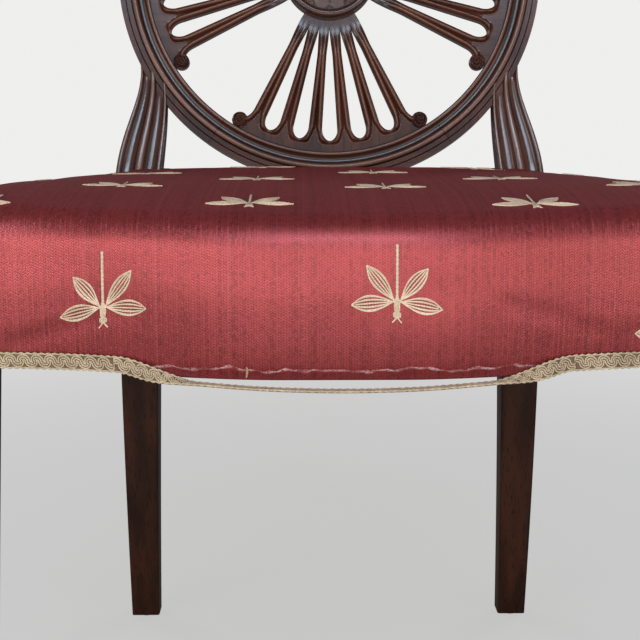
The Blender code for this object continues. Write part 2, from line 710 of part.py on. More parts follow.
def make_hub(finishes, wheel):
    """Turned hub, grooved for the palmettes, and the boss in its middle."""
    groove_front = -PALMETTE_SETBACK + PALMETTE_THICKNESS / 2 + FIT_GAP
    groove_rear = groove_front - PALMETTE_THICKNESS - 2 * FIT_GAP
    groove_floor = HUB_RADIUS - HUB_GROOVE_DEPTH
    rear = -HOOP_DEPTH / 2
    bead_top = HUB_FRONT - HUB_BEAD_DROP
    dish_edge = HUB_RADIUS - HUB_BEAD_WIDTH
    profile = [
        (HUB_BORE, rear),
        (HUB_RADIUS - HUB_REAR_EASE, rear),
        (HUB_RADIUS, rear + HUB_REAR_EASE),
        (HUB_RADIUS, groove_rear),
        (groove_floor, groove_rear),
        (groove_floor, groove_front),
        (HUB_RADIUS, groove_front),
        (HUB_RADIUS, bead_top - HUB_BEAD_EASE),
        (HUB_RADIUS - HUB_BEAD_EASE, bead_top),
        (dish_edge, bead_top),
        (dish_edge - HUB_BEAD_DROP, HUB_FRONT - HUB_DISH_DROP),
        (HUB_DOME_RADIUS, HUB_FRONT - HUB_DOME_DROP),
        (BOSS_RADIUS, HUB_FRONT),
        (HUB_BORE, HUB_FRONT),
    ]
    add_piece("hub", turned(profile, HUB_SIDES, ring_shaped=True), finishes["mahogany"], wheel)
    stem = HUB_BORE - FIT_GAP
    seat = HUB_FRONT + FIT_GAP
    rim = seat + BOSS_RIM
    dome = [(stem, rear + BOSS_STEM_INSET), (stem, seat), (BOSS_RADIUS, seat), (BOSS_RADIUS, rim)]
    for step in range(1, DOME_STEPS + 1):
        turn = math.pi / 2 * step / (DOME_STEPS + 0.5)
        dome.append((BOSS_RADIUS * math.cos(turn), rim + BOSS_RISE * math.sin(turn)))
    add_piece("hub_boss", turned(dome, BOSS_SIDES), finishes["mahogany"], wheel)


# Seat frame


def make_front_legs(finishes):
    """Tapered front legs; the taper is on their inner faces."""
    legs = {}
    for name, side in SIDES:
        rings = []
        outer_x = SEAT_FRONT_WIDTH / 2
        taper_start = RAIL_BOTTOM - FRONT_LEG_SHOULDER
        for z in (GLIDE_HEIGHT, taper_start, RAIL_TOP):
            size = FRONT_LEG_FOOT if z == GLIDE_HEIGHT else FRONT_LEG_TOP
            ring = [Vector((outer_x - size, FRONT_Y + size, z)), Vector((outer_x - size, FRONT_Y, z))]
            for step in range(CORNER_STEPS + 1):
                turn = math.pi / 2 * step / CORNER_STEPS
                x = outer_x - LEG_EDGE_RADIUS * (1 - math.sin(turn))
                ring.append(Vector((x, FRONT_Y + LEG_EDGE_RADIUS * (1 - math.cos(turn)), z)))
            ring.append(Vector((outer_x, FRONT_Y + size, z)))
            rings.append(on_side(ring, side))
        legs[name] = add_piece(f"front_leg_{name}", loft(rings), finishes["mahogany"])
    return legs


def tenon_box(middle, size, growth):
    """Box of a tenon round its middle, grown all round for its mortise."""
    half = Vector(size) / 2 + Vector((growth, growth, growth))
    return box(Vector(middle) - half, Vector(middle) + half)


def join_tenon(rail, host, label, middle, size):
    """Give a rail a tenon and its host the mortise."""
    tenon = add_piece(f"join_tenon_{label}", tenon_box(middle, size, 0), None)
    mortise = add_piece(f"cut_mortise_{label}", tenon_box(middle, size, FIT_GAP), None)
    combine(rail, tenon, "UNION")
    combine(host, mortise, "DIFFERENCE")


def make_cross_rails(finishes, legs, posts):
    """Serpentine front rail and straight rear rail, tenoned at both ends."""
    front_end = LEG_INNER_X - FIT_GAP
    right = [x for x in front_stations(0) if x < front_end - FIT_GAP] + [front_end]
    rings = []
    for x in [-x for x in reversed(right[1:])] + right:
        outer = front_face_y(x)
        inner = outer + FRONT_RAIL_THICKNESS
        section = ((outer, RAIL_BOTTOM), (inner, RAIL_BOTTOM), (inner, RAIL_TOP), (outer, RAIL_TOP))
        rings.append([(x, y, z) for y, z in section])
    front = add_piece("front_rail", loft(rings), finishes["frame_wood"])
    rear_end = POST_INNER_X - FIT_GAP
    rear_low = (-rear_end, REAR_Y - RAIL_THICKNESS, RAIL_BOTTOM)
    rear = add_piece("rear_rail", box(rear_low, (rear_end, REAR_Y, RAIL_TOP)), finishes["frame_wood"])
    ends = (
        (front, legs, "front", front_end, FRONT_Y + FRONT_RAIL_THICKNESS / 2),
        (rear, posts, "rear", rear_end, REAR_Y - RAIL_THICKNESS / 2),
    )
    middle_z = (RAIL_BOTTOM + RAIL_TOP) / 2
    root = TENON_THICKNESS / 2  # length of the tenon inside the rail
    size = (CROSS_TENON_LENGTH + root, TENON_THICKNESS, TENON_HEIGHT)
    for rail, hosts, label, end, y in ends:
        for name, side in SIDES:
            x = side * (end + (CROSS_TENON_LENGTH - root) / 2)
            join_tenon(rail, hosts[name], f"{label}_{name}", (x, y, middle_z), size)
    return front, rear


def make_side_rails(finishes, legs, posts):
    """Side rails between the front legs and the posts, tenoned at both ends."""
    rails = {}
    low_y = LEG_BACK_Y + FIT_GAP
    high_y = POST_FRONT_Y - FIT_GAP
    middle_z = (RAIL_BOTTOM + RAIL_TOP) / 2
    root = TENON_THICKNESS / 2
    size = (TENON_THICKNESS, SIDE_TENON_LENGTH + root, TENON_HEIGHT)
    for name, side in SIDES:
        outline = [
            (side_face_x(low_y), low_y),
            (side_face_x(high_y), high_y),
            (side_inner_x(high_y), high_y),
            (side_inner_x(low_y), low_y),
        ]
        rail_mesh = prism(on_side(outline, side), RAIL_BOTTOM, RAIL_TOP)
        rail = add_piece(f"side_rail_{name}", rail_mesh, finishes["frame_wood"])
        ends = ((legs[name], "leg", low_y, -1), (posts[name], "post", high_y, 1))
        for host, label, y, way in ends:
            x = side * (side_face_x(y) + side_inner_x(y)) / 2
            middle = (x, y + way * (SIDE_TENON_LENGTH - root) / 2, middle_z)
            join_tenon(rail, host, f"{label}_{name}", middle, size)
        rails[name] = rail
    return rails


def front_block_outline():
    """Plan of the right front corner block, notched round the leg."""
    reach_x = LEG_INNER_X - BLOCK_REACH
    reach_y = LEG_BACK_Y + BLOCK_REACH
    outline = []
    for step in range(BLOCK_STEPS + 1):
        x = blend(reach_x, LEG_INNER_X - BLOCK_GAP, step / BLOCK_STEPS)
        outline.append((x, front_face_y(x) + FRONT_RAIL_THICKNESS + BLOCK_GAP))
    outline.append((LEG_INNER_X - BLOCK_GAP, LEG_BACK_Y + BLOCK_GAP))
    outline.append((side_inner_x(LEG_BACK_Y) - BLOCK_GAP, LEG_BACK_Y + BLOCK_GAP))
    outline.append((side_inner_x(reach_y) - BLOCK_GAP, reach_y))
    return outline


def rear_block_outline():
    """Plan of the right rear corner block, notched round the post."""
    reach_y = POST_FRONT_Y - BLOCK_REACH
    rail_y = REAR_Y - RAIL_THICKNESS - BLOCK_GAP
    return [
        (side_inner_x(reach_y) - BLOCK_GAP, reach_y),
        (side_inner_x(POST_FRONT_Y) - BLOCK_GAP, POST_FRONT_Y - BLOCK_GAP),
        (POST_INNER_X - BLOCK_GAP, POST_FRONT_Y - BLOCK_GAP),
        (POST_INNER_X - BLOCK_GAP, rail_y),
        (POST_INNER_X - BLOCK_REACH, rail_y),
    ]


def screw_profile(growth, head_run):
    """Countersunk screw from tip to head, or its hole with a run for the driver."""
    neck = SCREW_LENGTH - SCREW_HEAD_HEIGHT
    return [
        (SCREW_TIP_RADIUS + growth, -growth),
        (SCREW_RADIUS + growth, SCREW_TIP_LENGTH),
        (SCREW_RADIUS + growth, neck),
        (SCREW_HEAD_RADIUS + growth, SCREW_LENGTH - SCREW_HEAD_RIM),
        (SCREW_HEAD_RADIUS + growth, SCREW_LENGTH + head_run),
    ]


def drive_screw(label, finishes, block, rail, spot, direction):
    """A screw through a block into a rail, entering the rail at a spot on its inner face."""
    frame = aim(spot + direction * SCREW_BITE, -direction)
    screw = turned(screw_profile(0, 0), ROUND_SIDES)
    add_piece(f"block_screw_{label}", screw, finishes["steel"], None, frame)
    hole = turned(screw_profile(FIT_GAP, BLOCK_REACH), ROUND_SIDES)
    cutter = add_piece(f"cut_screw_{label}", hole, None, None, frame)
    combine(block, cutter, "DIFFERENCE")
    combine(rail, cutter, "DIFFERENCE")


def make_corner_blocks(finishes, front_rail, rear_rail, side_rails):
    """Four corner blocks under the seat, each screwed to both of its rails."""
    middle_z = (RAIL_BOTTOM + RAIL_TOP) / 2
    low = middle_z - BLOCK_HEIGHT / 2
    high = middle_z + BLOCK_HEIGHT / 2
    half_reach = BLOCK_REACH / 2
    for name, side in SIDES:
        front_x = LEG_INNER_X - half_reach
        front_y = LEG_BACK_Y + half_reach
        rear_x = POST_INNER_X - half_reach
        rear_y = POST_FRONT_Y - half_reach
        corners = (
            (
                f"front_{name}",
                front_block_outline(),
                (front_rail, (front_x, front_face_y(front_x) + FRONT_RAIL_THICKNESS), Vector((0, -1, 0))),
                (side_rails[name], (side_inner_x(front_y), front_y), SIDE_OUTWARD),
            ),
            (
                f"rear_{name}",
                rear_block_outline(),
                (rear_rail, (rear_x, REAR_Y - RAIL_THICKNESS), Vector((0, 1, 0))),
                (side_rails[name], (side_inner_x(rear_y), rear_y), SIDE_OUTWARD),
            ),
        )
        for label, outline, *fixings in corners:
            mesh = prism(on_side(outline, side), low, high)
            block = add_piece(f"corner_block_{label}", mesh, finishes["frame_wood"])
            for number, (rail, (x, y), direction) in enumerate(fixings, 1):
                spot = Vector((side * x, y, middle_z))
                way = Vector((side * direction.x, direction.y, 0))
                drive_screw(f"{label}_{number}", finishes, block, rail, spot, way)


def make_glides(finishes, legs, posts):
    """A nail glide under each foot, with the nail's hole."""
    nail_top = GLIDE_HEIGHT + GLIDE_NAIL_LENGTH
    profile = [
        (GLIDE_RADIUS, 0),
        (GLIDE_RADIUS, GLIDE_HEIGHT - FIT_GAP - GLIDE_EDGE),
        (GLIDE_RADIUS - GLIDE_EDGE, GLIDE_HEIGHT - FIT_GAP),
        (GLIDE_NAIL_RADIUS, GLIDE_HEIGHT - FIT_GAP),
        (GLIDE_NAIL_RADIUS, nail_top - GLIDE_NAIL_POINT),
        (GLIDE_NAIL_TIP, nail_top),
    ]
    hole_radius = GLIDE_NAIL_RADIUS + FIT_GAP
    for name, side in SIDES:
        leg_middle = SEAT_FRONT_WIDTH / 2 - FRONT_LEG_FOOT / 2
        post_middle = POST_OUTER_X - POST_FOOT / 2
        feet = (
            ("front", legs[name], leg_middle, FRONT_Y + FRONT_LEG_FOOT / 2),
            ("rear", posts[name], post_middle, POST_Y + SABRE_SETBACK),
        )
        for end, host, x, y in feet:
            spot = Matrix.Translation((side * x, y, 0))
            add_piece(f"glide_{end}_{name}", turned(profile, BOSS_SIDES), finishes["steel"], None, spot)
            hole = turned([(hole_radius, 0), (hole_radius, nail_top + FIT_GAP)], ROUND_SIDES)
            cutter = add_piece(f"cut_nail_{end}_{name}", hole, None, None, spot)
            combine(host, cutter, "DIFFERENCE")


# Upholstery


def webbing_strip(name, finishes, start, end, crossings):
    """Strip between two plan points, over or under the strips that it crosses."""
    along = (end - start).normalized()
    across = Vector((along.y, -along.x)) * WEBBING_WIDTH / 2
    half_run = WEBBING_WIDTH / 2 + WEAVE_EASE
    stations = [(0.0, 0.0)]
    for distance, rise in crossings:
        stations += [(distance - half_run, rise), (distance + half_run, rise)]
    stations.append(((end - start).length, 0.0))
    rings = []
    for distance, rise in stations:
        middle = start + along * distance
        low = WEBBING_Z + rise - WEBBING_THICKNESS / 2
        high = low + WEBBING_THICKNESS
        left = middle - across
        right = middle + across
        rings.append([(*left, low), (*right, low), (*right, high), (*left, high)])
    add_piece(name, loft(rings), finishes["jute"])


def make_webbing(finishes):
    """Interlaced webbing tacked to the tops of the rails."""
    middle = (WEBBING_LENGTHWAYS - 1) / 2
    columns = [WEBBING_PITCH * (index - middle) for index in range(WEBBING_LENGTHWAYS)]
    first_row = FRONT_Y + CROSS_WEBBING_START
    rows = [first_row + CROSS_WEBBING_PITCH * index for index in range(WEBBING_CROSSWAYS)]
    for index, x in enumerate(columns):
        start = Vector((x, front_face_y(x) + WEBBING_LAP))
        end = Vector((x, REAR_Y - WEBBING_LAP))
        crossings = [(y - start.y, WEAVE_RISE * (-1) ** (index + row)) for row, y in enumerate(rows)]
        webbing_strip(f"webbing_lengthways_{index + 1}", finishes, start, end, crossings)
    for row, y in enumerate(rows):
        half = side_face_x(y) - WEBBING_LAP
        start = Vector((-half, y))
        end = Vector((half, y))
        crossings = [(x + half, -WEAVE_RISE * (-1) ** (index + row)) for index, x in enumerate(columns)]
        webbing_strip(f"webbing_crossways_{row + 1}", finishes, start, end, crossings)


def seat_profile(lift, bottom):
    """Rings of the seat's surface: outward move, height, shares of the way to the middle and of the fall."""
    rings = []
    swell_start = RAIL_BOTTOM + GIMP_WIDTH
    low = max(bottom, swell_start)
    heights = [bottom] if bottom < swell_start else []
    heights += [blend(low, ROLL_START, step / SIDE_RINGS) for step in range(SIDE_RINGS)]
    for z in heights:
        rise = max(0.0, (z - swell_start) / (ROLL_START - swell_start))
        rings.append((SIDE_SWELL * math.sin(math.pi / 2 * rise), z, 0, fall_share(z)))
    radius = ROLL_RADIUS + lift
    for step in range(ROLL_RINGS + 1):
        turn = math.pi / 2 * step / ROLL_RINGS
        outward = SIDE_SWELL - radius * (1 - math.cos(turn))
        fall = fall_share(ROLL_START + ROLL_RADIUS * math.sin(turn))
        rings.append((outward, ROLL_START + radius * math.sin(turn), 0, fall))
    for step in range(1, CROWN_RINGS + 1):
        share = step / (CROWN_RINGS + 0.5)
        flatter = (1 - share) ** 2
        height = PAD_EDGE_TOP + lift + PAD_CROWN * (1 - flatter)
        rings.append((SIDE_SWELL - radius, height, share, flatter**2))
    return rings


def fall_share(z):
    """How much of the rear edge's fall reaches a height of the pad."""
    return min(1.0, max(0.0, (z - PAD_BOTTOM) / (PAD_EDGE_TOP - PAD_BOTTOM)))


def seat_surface(bm, lift, bottom):
    """Skin of the seat at a height over the pad; returns its lowest ring."""
    outline = seat_outline(lift)
    rows = []
    fall_start = REAR_Y - REAR_FALL_LENGTH
    falls = [PAD_REAR_FALL * smoothstep(point.y, fall_start, REAR_Y) for point in seat_outline(0)]
    for outward, z, share, fallen in seat_profile(lift, bottom):
        row = []
        for point, fall in zip(outline, falls):
            moved = away_from_middle(point, outward)
            row.append(bm.verts.new((*blend(moved, SEAT_MIDDLE, share), z - fall * fallen)))
        rows.append(row)
    for low, high in zip(rows, rows[1:]):
        for index in range(len(low)):
            after = (index + 1) % len(low)
            bm.faces.new((low[index], low[after], high[after], high[index]))
    crown = bm.verts.new((*SEAT_MIDDLE, PAD_EDGE_TOP + lift + PAD_CROWN))
    top = rows[-1]
    for index in range(len(top)):
        bm.faces.new((top[index], top[(index + 1) % len(top)], crown))
    return rows[0]


def make_seat_layers(finishes, wells):
    """Stuffing pad, wadding and cover, one inside the other, cut round the posts."""
    pad_mesh = bmesh.new()
    pad_mesh.faces.new(seat_surface(pad_mesh, 0, PAD_BOTTOM))
    pieces = [add_piece("seat_pad", pad_mesh, finishes["stuffing"])]
    layers = (
        ("seat_wadding", WADDING_LIFT, WADDING_THICKNESS, "wadding"),
        ("seat_cover", COVER_LIFT, COVER_THICKNESS, "silk"),
    )
    for name, lift, thickness, material in layers:
        shell = bmesh.new()
        inside = seat_surface(shell, lift, RAIL_BOTTOM)
        outside = seat_surface(shell, lift + thickness, RAIL_BOTTOM)
        for index in range(len(inside)):
            after = (index + 1) % len(inside)
            shell.faces.new((inside[index], inside[after], outside[after], outside[index]))
        pieces.append(add_piece(name, shell, finishes[material]))
    for piece in pieces:
        for well in wells:
            combine(piece, well, "DIFFERENCE")


def make_seat_cloths(finishes, wells):
    """Hessian under the pad and dust cover under the rails."""
    hessian_edge = [away_from_middle(point, -HESSIAN_INSET) for point in seat_outline(0)]
    hessian = prism(hessian_edge, HESSIAN_BOTTOM, HESSIAN_BOTTOM + HESSIAN_THICKNESS)
    dust_edge = [away_from_middle(point, -DUST_COVER_INSET) for point in seat_outline(0)]
    dust_top = RAIL_BOTTOM - FIT_GAP
    dust = prism(dust_edge, dust_top - DUST_COVER_THICKNESS, dust_top)
    cloths = [
        add_piece("hessian", hessian, finishes["jute"]),
        add_piece("dust_cover", dust, finishes["dust_cloth"]),
    ]
    for cloth in cloths:
        for well in wells:
            combine(cloth, well, "DIFFERENCE")
    for name, side in SIDES:
        inner = LEG_INNER_X - POST_WELL_GAP
        xs = sorted((side * inner, side * (SEAT_FRONT_WIDTH / 2 + POST_WIDTH)))
        low = (xs[0], FRONT_Y - POST_WIDTH, dust_top - BLOCK_HEIGHT)
        high = (xs[1], LEG_BACK_Y + POST_WELL_GAP, RAIL_BOTTOM + BLOCK_HEIGHT)
        cutter = add_piece(f"cut_dust_cover_{name}", box(low, high), None)
        combine(cloths[1], cutter, "DIFFERENCE")


def gimp_ring(edge, z, outward, turn):
    """Section of the gimp: its upper edge at a plan point, its lower edge swung out by a turn."""
    out = Vector((*outward, 0))
    down = out * math.sin(turn) - Vector((0, 0, 1)) * math.cos(turn)
    thick = out * math.cos(turn) + Vector((0, 0, 1)) * math.sin(turn)
    top = Vector((*edge, z))
    face = top + thick * GIMP_THICKNESS
    return [top, face, face + down * GIMP_WIDTH, top + down * GIMP_WIDTH]


def fixed_gimp(name, finishes, route):
    """Gimp stuck flat along a plan route on the cover."""
    outer = widened(route, GIMP_THICKNESS, closed=False)
    top = RAIL_BOTTOM + GIMP_WIDTH
    rings = []
    for near, far in zip(route, outer):
        rings.append([(*near, RAIL_BOTTOM), (*far, RAIL_BOTTOM), (*far, top), (*near, top)])
    add_piece(name, loft(rings), finishes["gimp"])


def loose_gimp(finishes, face):
    """The stretch of gimp that has come off: it turns flat and sags under the cover's edge."""
    start = -GIMP_LOOSE_LEFT + FIT_GAP
    end = GIMP_LOOSE_RIGHT - FIT_GAP
    stuck_top = RAIL_BOTTOM + GIMP_WIDTH
    loose_top = RAIL_BOTTOM + GIMP_WIDTH / 2 - GIMP_DROP
    rings = []
    for step in range(LOOSE_GIMP_STEPS + 1):
        x = blend(start, end, step / LOOSE_GIMP_STEPS)
        held = min(x - start, end - x)
        loosened = smoothstep(held, 0, GIMP_TURN_LENGTH)
        sagged = smoothstep(held, 0, (end - start) / 2)
        edge = Vector((x, front_face_y(x) - face))
        top = blend(stuck_top, loose_top, blend(loosened, sagged, GIMP_SAG))
        rings.append(gimp_ring(edge, top, Vector((0, -1)), GIMP_TURN * loosened))
    add_piece("gimp_loose", loft(rings), finishes["gimp"])


def make_gimp(finishes):
    """Gimp round the seat's lower edge: two stuck lengths, the loose one and the back."""
    face = COVER_OUTSIDE + GIMP_GAP
    end_y = POST_FRONT_Y - POST_WELL_GAP
    right = edge_route(GIMP_LOOSE_RIGHT, end_y)
    left = mirrored(edge_route(GIMP_LOOSE_LEFT, end_y))
    fixed_gimp("gimp_right", finishes, widened(right, face, closed=False))
    fixed_gimp("gimp_left", finishes, widened(left, face, closed=False))
    back_half = POST_INNER_X - POST_WELL_GAP
    back = [Vector((back_half, REAR_Y)), Vector((-back_half, REAR_Y))]
    fixed_gimp("gimp_back", finishes, widened(back, face, closed=False))
    loose_gimp(finishes, face)


def main():
    for old in list(bpy.data.objects):
        bpy.data.objects.remove(old)
    finishes = make_finishes()
    wheel = make_wheel_frame()
    posts = make_posts(finishes, wheel)
    hoop_rails = make_hoop_rails(finishes, wheel)
    make_dowels(finishes, wheel, posts, hoop_rails)
    make_palmettes(finishes, wheel)
    make_hub(finishes, wheel)
    legs = make_front_legs(finishes)
    front_rail, rear_rail = make_cross_rails(finishes, legs, posts)
    side_rails = make_side_rails(finishes, legs, posts)
    make_corner_blocks(finishes, front_rail, rear_rail, side_rails)
    make_glides(finishes, legs, posts)
    make_webbing(finishes)
    wells = [post_well(f"cut_well_{name}", side) for name, side in SIDES]
    make_seat_layers(finishes, wells)
    make_seat_cloths(finishes, wells)
    make_gimp(finishes)


main()
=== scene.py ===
"""Dresses the wheel-back dining chair in mahogany, silk and scroll gimp, and lights it in a plain studio."""

import math

import bmesh
import bpy
import numpy as np
from mathutils import Matrix, Vector, noise
from mathutils.bvhtree import BVHTree
from mathutils.geometry import barycentric_transform


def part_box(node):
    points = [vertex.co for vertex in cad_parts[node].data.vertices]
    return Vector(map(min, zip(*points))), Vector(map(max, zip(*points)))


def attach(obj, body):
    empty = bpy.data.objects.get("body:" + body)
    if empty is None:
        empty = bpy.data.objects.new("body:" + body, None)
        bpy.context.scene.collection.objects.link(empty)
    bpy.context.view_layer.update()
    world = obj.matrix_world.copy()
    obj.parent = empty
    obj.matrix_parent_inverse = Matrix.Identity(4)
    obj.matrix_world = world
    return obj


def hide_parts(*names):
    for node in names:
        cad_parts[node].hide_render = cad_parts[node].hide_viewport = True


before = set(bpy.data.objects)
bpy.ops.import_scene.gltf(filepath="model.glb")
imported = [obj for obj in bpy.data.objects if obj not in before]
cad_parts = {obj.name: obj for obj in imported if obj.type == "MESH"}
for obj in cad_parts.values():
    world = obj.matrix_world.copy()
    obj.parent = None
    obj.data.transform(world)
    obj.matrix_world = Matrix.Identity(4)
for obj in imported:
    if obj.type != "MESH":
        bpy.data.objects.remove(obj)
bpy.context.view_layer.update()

MM = 0.001
SIDES = (("left", -1), ("right", 1))

# Seat frame, as in the part
SEAT_FRONT_WIDTH = 588 * MM
SEAT_REAR_WIDTH = 424 * MM
FRAME_DEPTH = 390 * MM
RAIL_BOTTOM = 355 * MM
RAIL_TOP = 425 * MM
BOW_DEPTH = 46 * MM
BOW_FLAT = 80 * MM
FRONT_LEG_TOP = 37 * MM
FRONT_LEG_FOOT = 26 * MM
FRONT_LEG_SHOULDER = 8 * MM
LEG_EDGE_RADIUS = 5 * MM
LEG_EASE = 2.5 * MM  # the front legs' other edges
POST_WIDTH = 40 * MM
POST_DEPTH = 40 * MM
POST_FOOT = 29 * MM
SABRE_SETBACK = 58 * MM
SABRE_POWER = 1.5
BACK_RAKE = math.radians(10)
GLIDE_HEIGHT = 3 * MM
GLIDE_RADIUS = 9 * MM
GLIDE_EDGE = 1.5 * MM
GLIDE_CENTRE = 0.3 * MM  # radius at which its faces start
REAR_RAIL_SETBACK = 6 * MM

# Stiles, as in the part
STILE_SWELL = 16 * MM
STILE_SWELL_HEIGHT = 90 * MM
STILE_LEAN = 3 * MM
STILE_LEAN_HEIGHT = 60 * MM
WAIST_INSET = 17 * MM
WAIST_DROP = 48 * MM
WAIST_WIDTH = 24 * MM
WAIST_SLANT = 7 * MM
STILE_END_INSET = 8 * MM
STILE_END_RISE = 2 * MM
STILE_FRONT_RISE = 4 * MM
STILE_FRONT_SINK = 5 * MM
STILE_REAR_INSET = 1 * MM
STILE_BLEND = 0.8
MOULDING_RUN_IN = (0.05, 0.3)
POST_EASE = 3 * MM  # rounded edges of the leg and of the stile's rear
POST_FINISHES = ("mahogany_stile", "mahogany_upright", "mahogany_leg")
PAINTED_SHEEN_FINISH, HOOP_FINISH, PAINTED_SHADE_FINISH = range(3)
FACES_FORWARD = -0.25  # a face whose direction along the chair is below this belongs to the moulded front, which keeps the paler tones of painted sheen; the post's other faces take the darker tones of painted shade

# Wheel, as in the part
HOOP_RADIUS = 213 * MM
HOOP_DEPTH = 24 * MM
HOOP_EASE = 1.5 * MM
HOOP_CLEARANCE = 46 * MM
LOWER_JOINT = math.radians(35)
UPPER_JOINT = math.radians(125)
JOINT_GAP = math.radians(0.1)
STILE_JOIN = math.radians(67)
STILE_JOIN_SINK = 2.5 * MM
PALMETTE_THICKNESS = 11 * MM
PALMETTE_SETBACK = 2 * MM
LOBE_COUNT = 6
LOBE_PITCH = math.radians(10.5)
LOBE_ROOT_WIDTH = 6.8 * MM
LOBE_FOOT_WIDTH = 14.5 * MM
LOBE_BAND = 12 * MM
ARCH_RISE = 12 * MM
OPENING_START = 9 * MM
OPENING_TIP = 6 * MM
OPENING_SPREAD = 30 * MM
SCROLL_ANGLE = math.radians(31.2)
SCROLL_RADIUS = 8 * MM
HUB_RADIUS = 47 * MM
HUB_FRONT = 13 * MM
BOSS_RADIUS = 12 * MM
BOSS_RISE = 5 * MM
BEAD_RISE = 0.35
COVE_SINK = 0.3
HOOP_GROUND = 5 * MM
HOOP_MOULDING = (
    ("fillet", 5.0 * MM, 2.0 * MM),
    ("quirk", 1.0 * MM, 0.6 * MM),
    ("fillet", 4.5 * MM, 3.2 * MM),
    ("quirk", 1.0 * MM, 2.0 * MM),
    ("bead", 5.5 * MM, 7.0 * MM),
    ("cove", 8.5 * MM, 1.0 * MM),
    ("bead", 4.0 * MM, 4.6 * MM),
)
STILE_MOULDING = (
    ("bead", 4.0 * MM, -0.5 * MM),
    ("cove", 11.0 * MM, -3.5 * MM),
    ("bead", 8.0 * MM, 0.5 * MM),
    ("cove", 11.0 * MM, -3.5 * MM),
    ("bead", 4.0 * MM, -0.5 * MM),
)

# Carving of the palmettes
RELIEF_REACH = 6 * MM  # stretch beside a moulding's point that its relief is measured from
RELIEF_SIZE = 2 * MM
REED_WIDTH = 6.5 * MM  # rounded rib along each side of a spoke
REED_RISE = 3.2 * MM
REED_ROUNDNESS = 1.2  # power of its sine; above 1, it runs out softly
VALLEY_SINK = 1.2 * MM  # ground between the reeds
VOLUTE_PITCH = 5 * MM
VOLUTE_RISE = 1.4 * MM
VOLUTE_SIDES = 40
VOLUTE_GAP = 0.3 * MM  # to the hoop
VOLUTE_INSET = 1 * MM  # from the palmette's back
VOLUTE_SINK = 1.2 * MM  # below its front
SPOKE_ROOT = 5.7 * MM  # end of a spoke inside the hub's groove
SPOKE_RIM = 4.7 * MM  # and inside the hoop's
REED_PROUD = 1.5 * MM  # how far the reeds stand out of the plain thickness
BAND_RUN_IN = (-1 * MM, 4 * MM)  # beyond the openings' arches, where the reeds run out into the rim

# Hub and its boss
HUB_CENTRE = 0.5 * MM  # radius at which its rear starts
HUB_EDGE = 3 * MM
HUB_BEAD = 4 * MM  # half the width of the bead round its front
HUB_BEAD_RISE = 3 * MM
HUB_SINK = 5 * MM  # ground beside the bead
ROSETTE_INSET = 8.5 * MM
ROSETTE_RISE = 4.5 * MM
ROSETTE_FULLNESS = 1.3  # above 1, it is at its full height before its middle
ROSETTE_UNDER = 2 * MM  # how far it reaches under the boss
PETAL_COUNT = 12
PETAL_STEPS = 12
PETAL_RISE = 1.6 * MM
PETAL_ROUNDNESS = 0.6
BOSS_SINK = 1 * MM
BOSS_WALL = 2 * MM
BOSS_TIP = 0.2 * MM

# Seat cover
COVER_OUTSIDE = 4.8 * MM
COVER_THICKNESS = 1.2 * MM
COVER_LEVEL = 482.7 * MM  # height of the top in the middle of the seat
COVER_RISE = 2.9 * MM  # how much higher it lies at the back rail
EDGE_FALL = 7.4 * MM  # how far the top slopes down to the front edge
EDGE_FALL_RUN = 150 * MM
SIDE_LIFT = 3 * MM  # how much higher the front corners lie than the middle
SIDE_LIFT_REACH = 250 * MM
SIDE_LIFT_RUN = (-130 * MM, 20 * MM)
CORNER_FALL = 4 * MM  # towards the posts
CORNER_FALL_REACH = (90 * MM, 210 * MM)
CORNER_FALL_RUN = (20 * MM, 150 * MM)
FRONT_ROLL = 28 * MM
SIDE_ROLL = 15 * MM
REAR_ROLL = 20 * MM
POST_ROLL = 11 * MM
ROLL_CHANGE = 60 * MM  # length over which a roll changes at a corner
POST_GAP = 1 * MM
FRONT_SWELL = 7 * MM
SIDE_SWELL = 4 * MM
SWELL_HEIGHT = 437 * MM  # above which the face stands upright
SWELL_POWER = 2.3  # it falls back faster and faster below
REAR_LEAN = 20 * MM  # how far the back is drawn in to pass under the hoop
HEM_HEIGHT = 9 * MM  # lowest strip, which curls under
HEM_CURL = 1 * MM
HEM_DROP = 1.8 * MM  # how far the edge hangs below the rail where the gimp is off
HEM_DROP_REACH = (110 * MM, 160 * MM)
CREASE_DEPTH = 0.9 * MM
CREASE_REACH = 11 * MM
CREASES = (  # slack folds beside the corners: where each starts and ends, across and up
    ((118 * MM, 407 * MM), (180 * MM, 386 * MM)),
    ((-239 * MM, 373 * MM), (-180 * MM, 393 * MM)),
)
LUMP_SIZE = 70 * MM
LUMP_DEPTH = 1.4 * MM
LUMP_FLATNESS = 1.6  # the lumps are this much wider than high
TUCK_DEPTH = 5 * MM  # how far the cover is tucked below the rails' top beside a post
TACK_MARGIN = 4 * MM  # the cover is held fast to this height above the gimp
FAR_FROM_EDGE = 100.0  # height in millimetres given to points that aren't on the front
CLOTH_SETTINGS = {
    "quality": 5,
    "mass": 0.3,
    "tension_stiffness": 30,
    "compression_stiffness": 30,
    "shear_stiffness": 10,
    "bending_stiffness": 1.0,
    "vertex_group_mass": "tacked",
    "use_pressure": True,
    "uniform_pressure_force": 4.0,
}
CLOTH_FRAMES = 20
CLOTH_LIMIT = 1.2 * MM  # furthest that the pressed cover may move
CLOTH_FREE = (370 * MM, 450 * MM)  # heights between which it comes free to move

